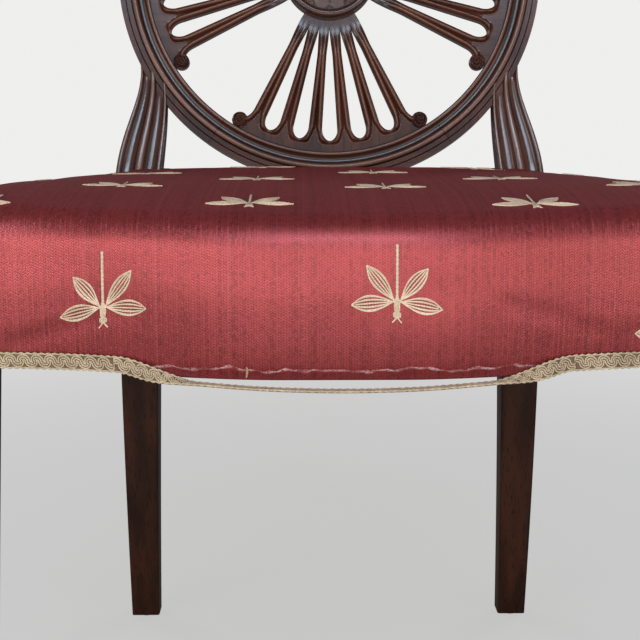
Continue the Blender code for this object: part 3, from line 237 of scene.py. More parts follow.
# Cloth pattern, in millimetres along the cloth
MOTIF_REPEAT = 208.0  # across
MOTIF_PITCH = 101.6  # between rows, each moved by half a repeat
MOTIF_X = 37.0  # a dragonfly's middle in the front row
MOTIF_ROW = -329.7  # front row, from the middle of the chair
TOP_STRETCH = 0.03  # the cloth is pulled this much longer behind the second row
ROW_MIDDLE = -25.0
ROW_SINK = 0.00054  # times the square of the distance from there, the rows hang lower
BOW_FADE = (50.0, 190.0)  # behind the front, where the rows stop following the bow
RIB_WIDTH = 1.9
STITCH_LENGTH = 2.0
STITCH_LEAN = 0.9  # of a stitch, over the width of a rib
STRIPE_PITCH = 51.8
STRIPE_X = 23.5
DOT_PITCH = 2.6
UPPER_WING = (math.radians(51), 31.5, 5.3)  # slant, length, half the width
LOWER_WING = (math.radians(-7), 30.5, 6.1)
WING_ROOT = 1.6
WING_FULLEST = 1.27  # above 1, a wing is widest beyond its middle
WING_ROUNDNESS = 0.85  # below 1, its ends are blunter
WING_STITCH = 1.9
VEIN_PITCH = 0.4  # share of a wing's half width
VEIN_SHIFT = VEIN_PITCH / 4  # puts a vein in the middle
TAIL_TWIST = 3.2
TAIL_LENGTH = 40.0
BODY_OVAL = (-2.5, 2.2, 6.0)  # middle, half the width, half the height
HEAD_OVAL = (-9.4, 2.8, 2.6)
FEELER_Y = -11.2
FEELER_LENGTH = 3.8
FEELER_SLOPE = 0.85
GLUE_END = (150.0, 140.0)  # across, to each side of the middle
SPRIG_ROWS = 6
SPRIG_COLUMNS = 2  # to each side of the middle one

# Raised threads of the sprigs
GOLD_RADIUS = 0.5 * MM
THREAD_LIFT = 0.3 * MM
THREAD_STRETCH = 1.8  # a thread stops where the cover stretches or folds more than this
OFF_CLOTH = 0.2  # a place further from the cloth than this lies off it
WING_STEPS = 18
RIM_LANES = (-1, 1)
RIM_INSET = 0.5
RIM_RUN = (0.0, 1.0)
VEIN_LANES = (-0.45, 0.0, 0.45)
VEIN_RUN = (0.1, 0.9)
BODY_LANES = (-0.75, -0.28, 0.28, 0.75)
HEAD_LANES = (-0.8, -0.4, 0.0, 0.4, 0.8)

# Gimp
GIMP_WIDTH = 12.7 * MM
GIMP_GAP = 0.6 * MM
GIMP_FINISHES = ("gimp_cord", "gimp_tape")
TAPE_SHADE_FINISH = 1
GIMP_LOOSE_LEFT = 162 * MM
GIMP_LOOSE_RIGHT = 166 * MM
GIMP_TURN_LENGTH = 62 * MM
GIMP_TURN = math.radians(92)
GIMP_DROP = 14.7 * MM
GIMP_SAG = 0.24
MEANDER_PERIOD = 10.4 * MM
MEANDER_REACH = 2.6 * MM  # of its middle line, to each side
MEANDER_SWING = math.radians(95)
MEANDER_SHEAR = 0.38  # the scrolls lean
MEANDER_STEPS = 24
GIMP_CORDS = 3
GIMP_CORD_PITCH = MEANDER_PERIOD / (2 * GIMP_CORDS)
GIMP_CORD_RADIUS = 0.64 * MM
EDGE_CORD_RADIUS = 0.85 * MM
EDGE_BEAD = MEANDER_PERIOD / 2
EDGE_BEAD_STEPS = 10
EDGE_WAVE = 0.2 * MM
EDGE_LIFT = 0.2 * MM
EDGE_NECK = 0.2  # half the share of an edge cord's radius that comes and goes along it
THREAD_X = -68.5 * MM  # a loose thread's end, stuck to the cover's lower edge
THREAD_LENGTH = 8 * MM
THREAD_RADIUS = 0.8 * MM
THREAD_BEND = 0.8 * MM
THREAD_ENDS = (0.08, 0.92)  # shares of a rounded form that its two ends are cut at
THREAD_STEPS = 16
THREAD_CURVE = 2.5  # angle that its bend runs through
GIMP_TAPE = 0.45 * MM
TAPE_BACK = 0.1 * MM
TAPE_STEP = 3 * MM
GIMP_STEPS = 60
GIMP_CORNER_STEPS = 8
LOOSE_STEPS = 120
NUDGE = 1 * MM  # small step that a direction is found with
WAVER_SIZE = 45 * MM
WAVER_DEPTH = 0.4 * MM  # unevenness of the stuck gimp

# Cloths under the seat
DUST_COVER_INSET = 8 * MM
DUST_COVER_SAG = 3 * MM
DUST_COVER_DROP = 0.7 * MM  # below the rails
HESSIAN_INSET = 6 * MM
HESSIAN_BOTTOM = RAIL_TOP + 3.8 * MM
CLOTH_THICKNESS = 0.8 * MM
CLOTH_MARGIN = 0.5 * MM  # further in at the middle of the front
SAG_RUN_IN = (25 * MM, 110 * MM)  # distances from an edge over which a cloth sags
STEP_GAP = 0.05 * MM  # between the two rows where a cloth steps in
CLOTH_COLUMNS = 32
CLOTH_ROWS = 40

# Derived places
FRONT_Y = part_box("front_leg_left")[0][1]
POST_FRONT_Y = FRONT_Y + FRAME_DEPTH
POST_Y = POST_FRONT_Y + POST_DEPTH / 2
REAR_Y = POST_FRONT_Y + POST_DEPTH - REAR_RAIL_SETBACK
LEG_INNER_X = SEAT_FRONT_WIDTH / 2 - FRONT_LEG_TOP
LEG_BACK_Y = FRONT_Y + FRONT_LEG_TOP
POST_OUTER_X = SEAT_REAR_WIDTH / 2
POST_INNER_X = POST_OUTER_X - POST_WIDTH
COVER_END_Y = POST_FRONT_Y - POST_GAP
COVER_REAR_X = POST_INNER_X - POST_GAP
GIMP_TOP = RAIL_BOTTOM + GIMP_WIDTH
GIMP_FACE = COVER_OUTSIDE + GIMP_GAP
SIDE_SLOPE = (POST_OUTER_X - SEAT_FRONT_WIDTH / 2) / (POST_FRONT_Y - LEG_BACK_Y)
EDGE_SLOPE = 2 * EDGE_FALL / EDGE_FALL_RUN + COVER_RISE / REAR_Y
WHEEL_RISE = HOOP_CLEARANCE + HOOP_RADIUS
HOOP_WIDTH = sum(width for _, width, _ in HOOP_MOULDING)
HOOP_INNER = HOOP_RADIUS - HOOP_WIDTH
WHEEL = (
    Matrix.Translation((0, POST_Y, RAIL_TOP))
    @ Matrix.Rotation(math.pi / 2 - BACK_RAKE, 4, "X")
    @ Matrix.Translation((0, WHEEL_RISE, 0))
)

# Mesh resolution
ARC_STEPS = 8
HOOP_STEP = math.radians(1.5)
SPOKE_COLUMNS = 32
LEG_STEPS = 20
STILE_STEPS = 48
SHARP_ANGLE = math.radians(40)
WELD = 0.005 * MM  # points nearer than this become one


# Plain mathematics


def smoothstep(value, start, end):
    share = min(1.0, max(0.0, (value - start) / (end - start)))
    return share * share * (3 - 2 * share)


def blend(first, second, share):
    return first + (second - first) * share


def spread(start, end, steps):
    """Evenly spaced values from start to end, both included."""
    return [blend(start, end, step / steps) for step in range(steps + 1)]


def quarter_round(steps):
    """Steps round a quarter of a circle, as a rest that falls from 1 to 0 and a rise from 0 to 1."""
    return [(1 - math.sin(turn), 1 - math.cos(turn)) for turn in spread(0, math.pi / 2, steps)]


def bezier(points, share):
    """Point of a cubic curve through its end points."""
    rest = 1 - share
    weights = (rest**3, 3 * rest * rest * share, 3 * rest * share * share, share**3)
    return sum((weight * Vector(point) for weight, point in zip(weights, points)), Vector((0, 0)))


def moulding(members):
    """Points (across, height) of a moulding, from its outer edge to its inner edge."""
    points = []
    start = 0.0
    for kind, width, height in members:
        if kind == "fillet":
            points += [(start, height), (start + width, height)]
        elif kind == "quirk":
            points.append((start + width / 2, height))
        else:
            rise = width * (BEAD_RISE if kind == "bead" else -COVE_SINK)
            for turn in spread(0, math.pi, ARC_STEPS):
                across = start + width * (0.5 - 0.5 * math.cos(turn))
                points.append((across, height - rise + rise * math.sin(turn)))
        start += width
    advancing = [point for point, after in zip(points, points[1:]) if after[0] > point[0]]
    return advancing + points[-1:]


def reliefs_of(points):
    """How far each point of a moulding stands out of the stretch round it, from about -1 to 1."""
    places, heights = (np.array(values) for values in zip(*points))
    reliefs = []
    for place, height in points:
        stretch = np.linspace(place - RELIEF_REACH, place + RELIEF_REACH, 25)
        reliefs.append((height - np.interp(stretch, places, heights).mean()) / RELIEF_SIZE)
    return reliefs


# Materials


class Channel:
    """A number in a material that plain arithmetic works on."""

    def __init__(self, finish, socket):
        self.finish = finish
        self.socket = socket

    def __add__(self, other):
        return self.finish.math("ADD", self, other)

    def __sub__(self, other):
        return self.finish.math("SUBTRACT", self, other)

    def __mul__(self, other):
        return self.finish.math("MULTIPLY", self, other)

    def __truediv__(self, other):
        return self.finish.math("DIVIDE", self, other)

    def __pow__(self, power):
        return self.finish.math("POWER", self, power)

    def __abs__(self):
        return self.finish.math("ABSOLUTE", self)

    def at_least(self, other):
        return self.finish.math("MAXIMUM", self, other)

    def at_most(self, other):
        return self.finish.math("MINIMUM", self, other)

    def floor(self):
        return self.finish.math("FLOOR", self)

    def fraction(self):
        return self.finish.math("FRACT", self)

    def fold(self, size):
        """Runs up to a size and back again."""
        return self.finish.math("PINGPONG", self, size)

    def wave(self, length):
        """Sine with a wave's length."""
        return self.finish.math("SINE", self * (math.tau / length))

    def ease(self, start, end):
        """Smooth step from 0 at start to 1 at end."""
        inputs = {"Value": self, "From Min": start, "From Max": end}
        node = self.finish.add("MapRange", inputs, interpolation_type="SMOOTHSTEP")
        return Channel(self.finish, node.outputs["Result"])


class Finish:
    """A Principled material in the making, with short ways to add its nodes."""

    def __init__(self, name, constants):
        self.material = bpy.data.materials.new(name)
        self.material.use_nodes = True
        self.tree = self.material.node_tree
        self.shader = self.tree.nodes["Principled BSDF"]
        for socket, value in constants.items():
            self.shader.inputs[socket].default_value = value

    def plug(self, socket, value):
        value = value.socket if isinstance(value, Channel) else value
        if isinstance(value, bpy.types.NodeSocket):
            self.tree.links.new(value, socket)
        else:
            socket.default_value = value

    def set(self, socket, value):
        self.plug(self.shader.inputs[socket], value)

    def add(self, kind, inputs, **settings):
        node = self.tree.nodes.new(f"ShaderNode{kind}")
        for name, value in settings.items():
            setattr(node, name, value)
        for key, value in inputs.items():
            self.plug(node.inputs[key], value)
        return node

    def math(self, operation, *values):
        return Channel(self, self.add("Math", dict(enumerate(values)), operation=operation).outputs[0])

    def mix(self, share, first, second):
        """Colour between two others."""
        return self.add("Mix", {0: share, 6: first, 7: second}, data_type="RGBA").outputs[2]

    def vector(self, x, y=0.0):
        return self.add("CombineXYZ", {"X": x, "Y": y}).outputs[0]

    def split(self, vector):
        node = self.add("SeparateXYZ", {0: vector})
        return [Channel(self, node.outputs[axis]) for axis in range(3)]

    def place(self, stretch):
        """The piece's own coordinates, stretched along each axis."""
        own = self.add("TexCoord", {}).outputs["Object"]
        return self.add("VectorMath", {0: own, 1: stretch}, operation="MULTIPLY").outputs[0]

    def cloth_place(self, layout):
        """Place across and along the cloth, in millimetres."""
        return self.split(self.add("UVMap", {}, uv_map=layout).outputs["UV"])[:2]

    def attribute(self, name):
        return Channel(self, self.add("Attribute", {}, attribute_name=name).outputs["Fac"])

    def noise(self, vector, scale, detail):
        node = self.add("TexNoise", {"Vector": vector, "Scale": scale, "Detail": detail})
        return Channel(self, node.outputs["Fac"])

    def own_noise(self, stretch, detail):
        """Noise over the piece itself, finer along an axis with a larger stretch."""
        return self.noise(self.place(stretch), 1.0, detail)

    def chance(self, x, y=0.0):
        """A random value for each whole place."""
        inputs = {"Vector": self.vector(x.floor(), y.floor() if isinstance(y, Channel) else y)}
        return Channel(self, self.add("TexWhiteNoise", inputs, noise_dimensions="2D").outputs["Value"])

    def bump(self, height, depth, strength):
        node = self.add("Bump", {"Height": height, "Distance": depth, "Strength": strength})
        self.set("Normal", node.outputs["Normal"])


def colour(red, green, blue):
    return (red, green, blue, 1.0)


# dark, ground, figure and pale ridge tones; in make_wood the dark tone also paints shade in hollows and the
# pale ridge tone is partly a painted highlight
MAHOGANY_TONES = (
    colour(0.010, 0.004, 0.003),
    colour(0.045, 0.012, 0.006),
    colour(0.09, 0.025, 0.012),
    colour(0.19, 0.08, 0.048),
)
FADED_SHEEN_STILE_TONES = (  # the stiles' moulded fronts are paler: partly a rubbed, faded finish, partly painted sheen where they face the light
    colour(0.018, 0.009, 0.008),
    colour(0.07, 0.025, 0.016),
    colour(0.12, 0.045, 0.029),
    colour(0.34, 0.20, 0.165),
)
# darker copy of the mahogany for the legs and the posts' other faces: painted shade
PAINTED_SHADE_TONES = (
    colour(0.006, 0.002, 0.001),
    colour(0.027, 0.008, 0.003),
    colour(0.058, 0.017, 0.007),
    colour(0.10, 0.04, 0.02),
)
BEECH_TONES = (
    colour(0.20, 0.11, 0.055),
    colour(0.44, 0.28, 0.155),
    colour(0.52, 0.35, 0.20),
    colour(0.56, 0.40, 0.25),
)
GRAIN_ACROSS = 55.0
GRAIN_ALONG = 3.5
PORE_FINENESS = 9  # pores are this much finer than the streaks


def make_wood(name, grain_axis, tones, polish, roughness):
    """Wood with its grain along one axis; tones are a dark tone, ground, figure and a pale ridge tone.
    Hollows are darkened with the dark tone as painted shade; ridges are lightened partly as rubbed wear,
    partly as a painted highlight.
    """
    shade, ground, figure, worn_and_highlight = tones
    wood = Finish(name, {"Specular IOR Level": 0.2, "Coat Weight": polish, "Coat Roughness": 0.2})
    stretch = [GRAIN_ACROSS] * 3
    stretch[grain_axis] = GRAIN_ALONG
    streaks = wood.own_noise(stretch, 6.0)
    pores = wood.own_noise([value * PORE_FINENESS for value in stretch], 2.0).ease(0.56, 0.68)
    clouds = wood.own_noise((9.0, 9.0, 9.0), 3.0)
    relief = wood.attribute("relief")
    body = wood.mix(streaks.ease(0.36, 0.66), ground, figure)
    body = wood.mix(clouds.ease(0.4, 0.75) * 0.45, body, shade)
    body = wood.mix(pores * 0.6, body, shade)
    # ridges paler: partly rubbed wear, partly a painted highlight
    body = wood.mix(relief.ease(0.3, 1.0) * clouds.ease(0.2, 0.55) * 0.8, body, worn_and_highlight)
    # hollows pulled towards the dark tone: painted shade
    wood.set("Base Color", wood.mix(relief.ease(-0.25, -1.0) * 0.7, body, shade))
    wood.set("Roughness", clouds * 0.2 + roughness)
    wood.bump(streaks * 0.3 - pores, 0.12 * MM, 0.5)
    return wood.material


def wing(x, y, shape):
    """Shares of a wing and of its threads at a point measured from the wings' joint."""
    slant, length, half_width = shape
    reach = x - WING_ROOT
    along = reach * math.cos(slant) + y * math.sin(slant)
    across = y * math.cos(slant) - reach * math.sin(slant)
    share = (along / length).at_least(0.0).at_most(1.0)
    leaf = (share**WING_FULLEST).wave(2.0)
    edge = leaf.at_least(0.0) ** WING_ROUNDNESS * half_width
    inset = edge - abs(across)
    inside = inset.ease(0.02, 0.4)
    rim = inset.ease(1.45, 1.05)
    lanes = across / edge.at_least(0.5) + VEIN_SHIFT
    veins = (along.wave(WING_STITCH) * 0.3 + lanes.wave(VEIN_PITCH)).ease(-0.1, 0.4)
    return inside, inside * rim.at_least(veins)


def oval_share(x, y, middle_y, half_width, half_height):
    """Share of an upright oval on the sprig's middle line."""
    wide = x / half_width
    tall = (y - middle_y) / half_height
    return (wide * wide + tall * tall).ease(1.15, 0.9)


def dragonfly(across, along):
    """Shares of the sprig's darkened area, which is painted shade round its threads, and of its gold threads
    at a place on the cloth.
    """
    row = (along - (MOTIF_ROW - MOTIF_PITCH / 2)) / MOTIF_PITCH
    half_drop = row.floor().fold(1.0) * 0.5
    column = ((across - MOTIF_X) / MOTIF_REPEAT + half_drop + 0.5).fraction()
    x = abs(column * MOTIF_REPEAT - MOTIF_REPEAT / 2)
    y = row.fraction() * MOTIF_PITCH - MOTIF_PITCH / 2
    upper_wing_shade, threads = wing(x, y, UPPER_WING)
    lower_wing_shade, lower_threads = wing(x, y, LOWER_WING)
    half_tail = y.wave(TAIL_TWIST) * 0.12 + 0.85
    tail = (x - half_tail).ease(0.25, -0.2) * y.ease(-1.0, 0.0)
    tail = tail * y.ease(TAIL_LENGTH + 0.5, TAIL_LENGTH - 0.5)
    feeler_x = (y - FEELER_Y) * -FEELER_SLOPE
    feeler_end = FEELER_Y - FEELER_LENGTH
    feelers = abs(x - feeler_x).ease(0.9, 0.45) * y.ease(feeler_end, feeler_end + 0.6)
    feelers = feelers * y.ease(FEELER_Y + 0.2, FEELER_Y - 0.2)
    body = oval_share(x, y, *BODY_OVAL)
    head = oval_share(x, y, *HEAD_OVAL)
    for share in (lower_threads, tail, body, head, feelers):
        threads = threads.at_least(share)
    return upper_wing_shade.at_least(lower_wing_shade).at_least(threads), threads


def weave(silk, across, along):
    """Height of the fine rib, from 0 to 1: uneven stitches in columns that lean by turns."""
    column = across / RIB_WIDTH
    slack = silk.noise(silk.vector(across, along), 0.3, 3.0)
    row = along / STITCH_LENGTH + column.fold(1.0) * STITCH_LEAN + slack * 1.2
    uneven = silk.chance(column, row)
    streak = silk.chance(column)
    stitch = column.fold(0.5).ease(-0.35, 0.3) * row.fold(0.5).ease(-0.15, 0.3)
    return slack * 0.25 + stitch * (streak * 0.22 + uneven * 0.3 + 0.32)


def dotted_stripe(across, along):
    """Share of the dotted lines that run up the cloth."""
    distance = ((across - STRIPE_X) / STRIPE_PITCH).fold(0.5) * STRIPE_PITCH
    return distance.ease(1.3, 0.7) * along.wave(DOT_PITCH).ease(-0.3, 0.3)


def glue_share(silk, across):
    """Share of the dried glue that the lost gimp has left above the cover's lower edge."""
    height = silk.attribute("above_edge")
    line = silk.vector(across)
    middle = silk.noise(line, 0.03, 2.0) * 14.0 - 1.5
    half = silk.noise(line, 0.09, 3.0) * 4.4 - 1.5
    share = (abs(height - middle) - half).ease(0.6, -0.7)
    patchy = silk.noise(line, 0.055, 2.0).ease(0.36, 0.6) * 0.75 + 0.25
    smeared = silk.noise(silk.vector(across, height), 0.5, 3.0).ease(0.28, 0.55)
    return share * patchy * smeared * abs(across).ease(*GLUE_END)


def make_silk():
    """Crimson ribbed silk with gold dragonfly sprigs and a trace of glue at its lower edge."""
    silk = Finish("crimson_silk", {"Specular IOR Level": 1.0, "IOR": 1.65})
    across, along = silk.cloth_place("weave")
    ribs = weave(silk, across, along)
    sprig_shade, threads = dragonfly(*silk.cloth_place("motif"))
    glue = glue_share(silk, across)
    patch = silk.own_noise((14.0, 14.0, 14.0), 3.0).ease(0.45, 0.8)
    face = silk.mix(ribs.ease(0.12, 0.78), colour(0.14, 0.008, 0.009), colour(0.44, 0.050, 0.051))
    face = silk.mix(dotted_stripe(across, along) * 0.3, face, colour(0.46, 0.10, 0.095))
    face = silk.mix(patch * 0.25, face, colour(0.21, 0.012, 0.015))
    # darker brown inside the sprigs, round the threads: painted shade
    face = silk.mix(sprig_shade * 0.35, face, colour(0.16, 0.045, 0.022))
    gold = silk.mix(ribs.ease(0.1, 0.7), colour(0.42, 0.30, 0.18), colour(0.80, 0.65, 0.45))
    face = silk.mix(threads, face, gold)
    silk.set("Base Color", silk.mix(glue * 0.75, face, colour(0.66, 0.44, 0.43)))
    silk.set("Metallic", threads.at_least(glue * 0.8) * -0.7 + 0.7)
    aside = Channel(silk, silk.add("LayerWeight", {"Blend": 0.5}).outputs["Facing"])
    silk.set("Roughness", threads * 0.25 + (aside.ease(0.2, 0.8) * 0.28 + 0.42))
    silk.bump(ribs + threads * 1.4 + glue * 1.5, 0.3 * MM, 0.6)
    return silk.material


def make_gimp_thread(name, dark, light):
    """Tan braid thread with a fine twist."""
    thread = Finish(name, {"Specular IOR Level": 0.25, "Sheen Weight": 0.15, "Roughness": 0.75})
    wear = thread.own_noise((60.0, 60.0, 60.0), 3.0)
    twist = thread.own_noise((900.0, 900.0, 1400.0), 2.0)
    thread.set("Base Color", thread.mix((twist * 0.6 + wear * 0.4).ease(0.3, 0.7), dark, light))
    thread.bump(twist, 0.25 * MM, 0.8)
    return thread.material


def make_plain_weave(name, pitch, dark, light):
    """Plain woven cloth with threads both ways."""
    cloth = Finish(name, {"Roughness": 0.92, "Specular IOR Level": 0.15})
    x, y, _ = cloth.split(cloth.place((1.0, 1.0, 1.0)))
    over = x.wave(2 * pitch) * y.wave(2 * pitch)
    slubs = cloth.own_noise((70.0, 70.0, 70.0), 4.0)
    cloth.set("Base Color", cloth.mix((over * 0.35 + slubs).ease(0.2, 0.85), dark, light))
    cloth.bump(over + slubs, 0.3 * MM, 0.6)
    return cloth.material


def make_steel():
    """Dull plated steel with fine scratches."""
    steel = Finish("dull_steel", {"Metallic": 1.0, "Anisotropic": 0.3})
    stains = steel.own_noise((150.0, 150.0, 150.0), 4.0)
    steel.set("Base Color", steel.mix(stains, colour(0.30, 0.27, 0.24), colour(0.62, 0.60, 0.57)))
    steel.set("Roughness", stains * 0.35 + 0.2)
    steel.bump(steel.own_noise((2500.0, 300.0, 300.0), 2.0), 0.05 * MM, 0.4)
    return steel.material


def make_finishes():
    """Every material of the chair, by name."""
    woods = (
        ("mahogany_across", 0, MAHOGANY_TONES, 0.6, 0.3),
        ("mahogany_radial", 1, MAHOGANY_TONES, 0.6, 0.3),
        ("mahogany_upright", 2, MAHOGANY_TONES, 0.6, 0.3),
        # paler tones for the stiles' moulded fronts: partly faded finish, partly painted sheen
        ("mahogany_stile", 2, FADED_SHEEN_STILE_TONES, 1.0, 0.25),
        # darker tones for the legs and the posts' other faces: painted shade
        ("mahogany_leg", 2, PAINTED_SHADE_TONES, 0.05, 0.5),
        ("beech_across", 0, BEECH_TONES, 0.0, 0.55),
        ("beech_lengthways", 1, BEECH_TONES, 0.0, 0.55),
    )
    threads = (
        ("gold_thread", colour(0.56, 0.40, 0.26), colour(0.93, 0.73, 0.52)),
        ("gimp_cord", colour(0.38, 0.275, 0.17), colour(0.68, 0.54, 0.35)),
        # the tape's dark colour is painted shade in the gaps between the cords
        ("gimp_tape", colour(0.12, 0.07, 0.042), colour(0.26, 0.155, 0.10)),
    )
    weaves = (
        ("jute_webbing", 2.2 * MM, colour(0.20, 0.13, 0.065), colour(0.52, 0.38, 0.22)),
        ("hessian", 1.6 * MM, colour(0.24, 0.16, 0.08), colour(0.50, 0.37, 0.21)),
        ("black_cambric", 0.8 * MM, colour(0.006, 0.006, 0.007), colour(0.03, 0.03, 0.032)),
    )
    finishes = {"silk": make_silk(), "steel": make_steel()}
    for make, kinds in ((make_wood, woods), (make_gimp_thread, threads), (make_plain_weave, weaves)):
        for kind in kinds:
            finishes[kind[0]] = make(*kind)
    return finishes


# Meshes


class Shape:
    """Points and faces of a mesh that is put together from several skins."""

    def __init__(self):
        self.points = []
        self.faces = []
        self.finish_numbers = []
        self.reliefs = []

    def add(self, points, faces, finish_number=0, reliefs=None):
        """Add points and faces; a relief tells how far a point stands out of its surroundings."""
        start = len(self.points)
        self.points += [tuple(point) for point in points]
        self.faces += [[start + index for index in face] for face in faces]
        self.finish_numbers += [finish_number] * len(faces)
        self.reliefs += reliefs or [0.0] * len(points)

    def skin(self, rings, finish_number=0, reliefs=None, left_out=()):
        """Closed skin over rings of equally many points; faces left out are named by row and point."""
        count = len(rings[0])
        points = [point for ring in rings for point in ring]
        faces = []
        for row in range(len(rings) - 1):
            low = row * count
            for index in range(count):
                after = (index + 1) % count
                if (row, index) not in left_out:
                    faces.append((low + index, low + after, low + count + after, low + count + index))
        faces.append(tuple(reversed(range(count))))
        faces.append(tuple(range(len(points) - count, len(points))))
        flat = [relief for ring in reliefs for relief in ring] if reliefs else None
        self.add(points, faces, finish_number, flat)

    def mesh(self, name, finishes):
        """The mesh, with touching points welded, faces turned outward and only its corners sharp."""
        data = bpy.data.meshes.new(name)
        data.from_pydata(self.points, [], self.faces)
        data.polygons.foreach_set("material_index", self.finish_numbers)
        data.attributes.new("relief", "FLOAT", "POINT").data.foreach_set("value", self.reliefs)
        joined = bmesh.new()
        joined.from_mesh(data)
        bmesh.ops.remove_doubles(joined, verts=joined.verts, dist=WELD)
        bmesh.ops.recalc_face_normals(joined, faces=joined.faces)
        joined.to_mesh(data)
        joined.free()
        for finish in finishes:
            data.materials.append(finish)
        data.validate()
        data.shade_smooth()
        data.set_sharp_from_angle(angle=SHARP_ANGLE)
        return data


def show(name, mesh, matrix=None):
    """Put a mesh into the scene."""
    piece = bpy.data.objects.new(name, mesh)
    bpy.context.scene.collection.objects.link(piece)
    if matrix is not None:
        piece.matrix_world = matrix
    return piece


def fit(piece, slot, *nodes):
    """Let a piece stand for nodes of the frame, on the chair's body."""
    bpy.context.view_layer.update()
    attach(piece, "root")
    if nodes:
        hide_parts(*nodes)
    return piece


def add_skin(name, rings, finish, slot, *nodes, matrix=None, reliefs=None):
    """A piece of a single skin in one finish, in the place of nodes of the frame."""
    shape = Shape()
    shape.skin(rings, reliefs=reliefs)
    fit(show(name, shape.mesh(name, [finish]), matrix), slot, *nodes)


def thicken(piece, thickness, offset):
    """Give a sheet its thickness, inward with an offset of -1 and both ways with 0."""
    modifier = piece.modifiers.new("thickness", "SOLIDIFY")
    modifier.thickness = thickness
    modifier.offset = offset


def grid_faces(rows, columns, corner):
    """Faces of a grid whose points are numbered by a function of row and column."""
    faces = []
    for row in range(rows):
        for column in range(columns):
            near = (corner(row, column), corner(row, column + 1))
            far = (corner(row + 1, column + 1), corner(row + 1, column))
            faces.append(near + far)
    return faces


def turned(profile, sides):
    """Rings of a turned form round local Z from (radius, height) points."""
    angles = [math.tau * side / sides for side in range(sides)]
    return [[(r * math.cos(a), r * math.sin(a), h) for a in angles] for r, h in profile]


# Plan of the seat frame


def bow(x):
    """How far the serpentine front falls back at a distance from its middle."""
    return BOW_DEPTH * smoothstep(abs(x), BOW_FLAT / 2, LEG_INNER_X)


def front_face_y(x):
    return FRONT_Y - BOW_DEPTH + bow(x)


def side_face_x(y):
    """Outer face of the right side rail and leg."""
    return SEAT_FRONT_WIDTH / 2 + SIDE_SLOPE * max(0.0, y - LEG_BACK_Y)


def edge_route(start_x, end_y, front_steps, corner_steps, side_steps):
    """Plan points of the frame's outer faces, right half, from the front to the side."""
    corner_x = SEAT_FRONT_WIDTH / 2 - LEG_EDGE_RADIUS
    points = [Vector((x, front_face_y(x))) for x in spread(start_x, corner_x, front_steps)[:-1]]
    for turn in spread(0, math.pi / 2, corner_steps):
        x = corner_x + LEG_EDGE_RADIUS * math.sin(turn)
        points.append(Vector((x, FRONT_Y + LEG_EDGE_RADIUS * (1 - math.cos(turn)))))
    for y in spread(FRONT_Y + LEG_EDGE_RADIUS, end_y, side_steps)[1:]:
        points.append(Vector((side_face_x(y), y)))
    return points


def mirrored(points):
    """The same plan points on the left, in reverse order."""
    return [Vector((-point.x, point.y)) for point in reversed(points)]


def widened(points, distance):
    """Plan points of an open route moved to its right."""
    moved = []
    for index, point in enumerate(points):
        before = points[max(0, index - 1)]
        after = points[min(len(points) - 1, index + 1)]
        arrive = (point - before).normalized() if index else (after - point).normalized()
        leave = (after - point).normalized() if index + 1 < len(points) else arrive
        first = Vector((arrive.y, -arrive.x))
        second = Vector((leave.y, -leave.x))
        moved.append(point + (first + second) * distance / (1 + first.dot(second)))
    return moved


# Rear posts and hoop


def back_point(across, up, out):
    """A point of the raked back in the chair's frame."""
    y = POST_Y + up * math.sin(BACK_RAKE) - out * math.cos(BACK_RAKE)
    z = RAIL_TOP + up * math.cos(BACK_RAKE) + out * math.sin(BACK_RAKE)
    return Vector((across, y, z))


def wheel_point(radius, angle):
    """A point in the wheel's plane, with its angle measured from the lowest point."""
    return Vector((radius * math.sin(angle), -radius * math.cos(angle)))


def leg_corners(z):
    """Corners of the right post below the rail's top: outer front, inner front, inner rear, outer rear."""
    drop = max(0.0, (RAIL_BOTTOM - z) / RAIL_BOTTOM)
    width = blend(POST_WIDTH, POST_FOOT, drop)
    half_depth = blend(POST_DEPTH, POST_FOOT, drop) / 2
    middle_y = POST_Y + SABRE_SETBACK * drop**SABRE_POWER
    xs = (POST_OUTER_X, POST_OUTER_X - width)
    ys = (middle_y - half_depth, middle_y + half_depth)
    plan = ((xs[0], ys[0]), (xs[1], ys[0]), (xs[1], ys[1]), (xs[0], ys[1]))
    return [Vector((x, y, z)) for x, y in plan]


def stile_corners(share):
    """Corners of the right stile, from the rails to its end inside the hoop."""
    join = wheel_point(HOOP_RADIUS - STILE_JOIN_SINK, STILE_JOIN) + Vector((0, WHEEL_RISE))
    waist = join - Vector((WAIST_INSET, WAIST_DROP))
    outer_pull = (POST_OUTER_X + STILE_SWELL, STILE_SWELL_HEIGHT)
    outer = bezier(((POST_OUTER_X, 0), outer_pull, waist, join), share)
    inner_pull = (POST_INNER_X + STILE_LEAN, STILE_LEAN_HEIGHT)
    inner_waist = waist - Vector((WAIST_WIDTH, WAIST_SLANT))
    inner_end = join + Vector((STILE_END_INSET - HOOP_WIDTH, STILE_END_RISE))
    inner = bezier(((POST_INNER_X, 0), inner_pull, inner_waist, inner_end), share)
    thinning = smoothstep(share, 0, STILE_BLEND)
    sink = STILE_FRONT_SINK * smoothstep(share, STILE_BLEND, 1)
    front = blend(POST_DEPTH / 2, HOOP_GROUND + STILE_FRONT_RISE, thinning) - sink
    rear = -blend(POST_DEPTH / 2, HOOP_DEPTH / 2 - STILE_REAR_INSET, thinning)
    return [
        back_point(outer.x, outer.y, front),
        back_point(inner.x, inner.y, front),
        back_point(inner.x, inner.y, rear),
        back_point(outer.x, outer.y, rear),
    ]


def rounded_edge(across, total, radius):
    """Drop of a flat face beside its two rounded edges."""
    inset = min(across, total - across)
    if inset >= radius:
        return 0.0
    return radius - math.sqrt(radius * radius - (radius - inset) ** 2)


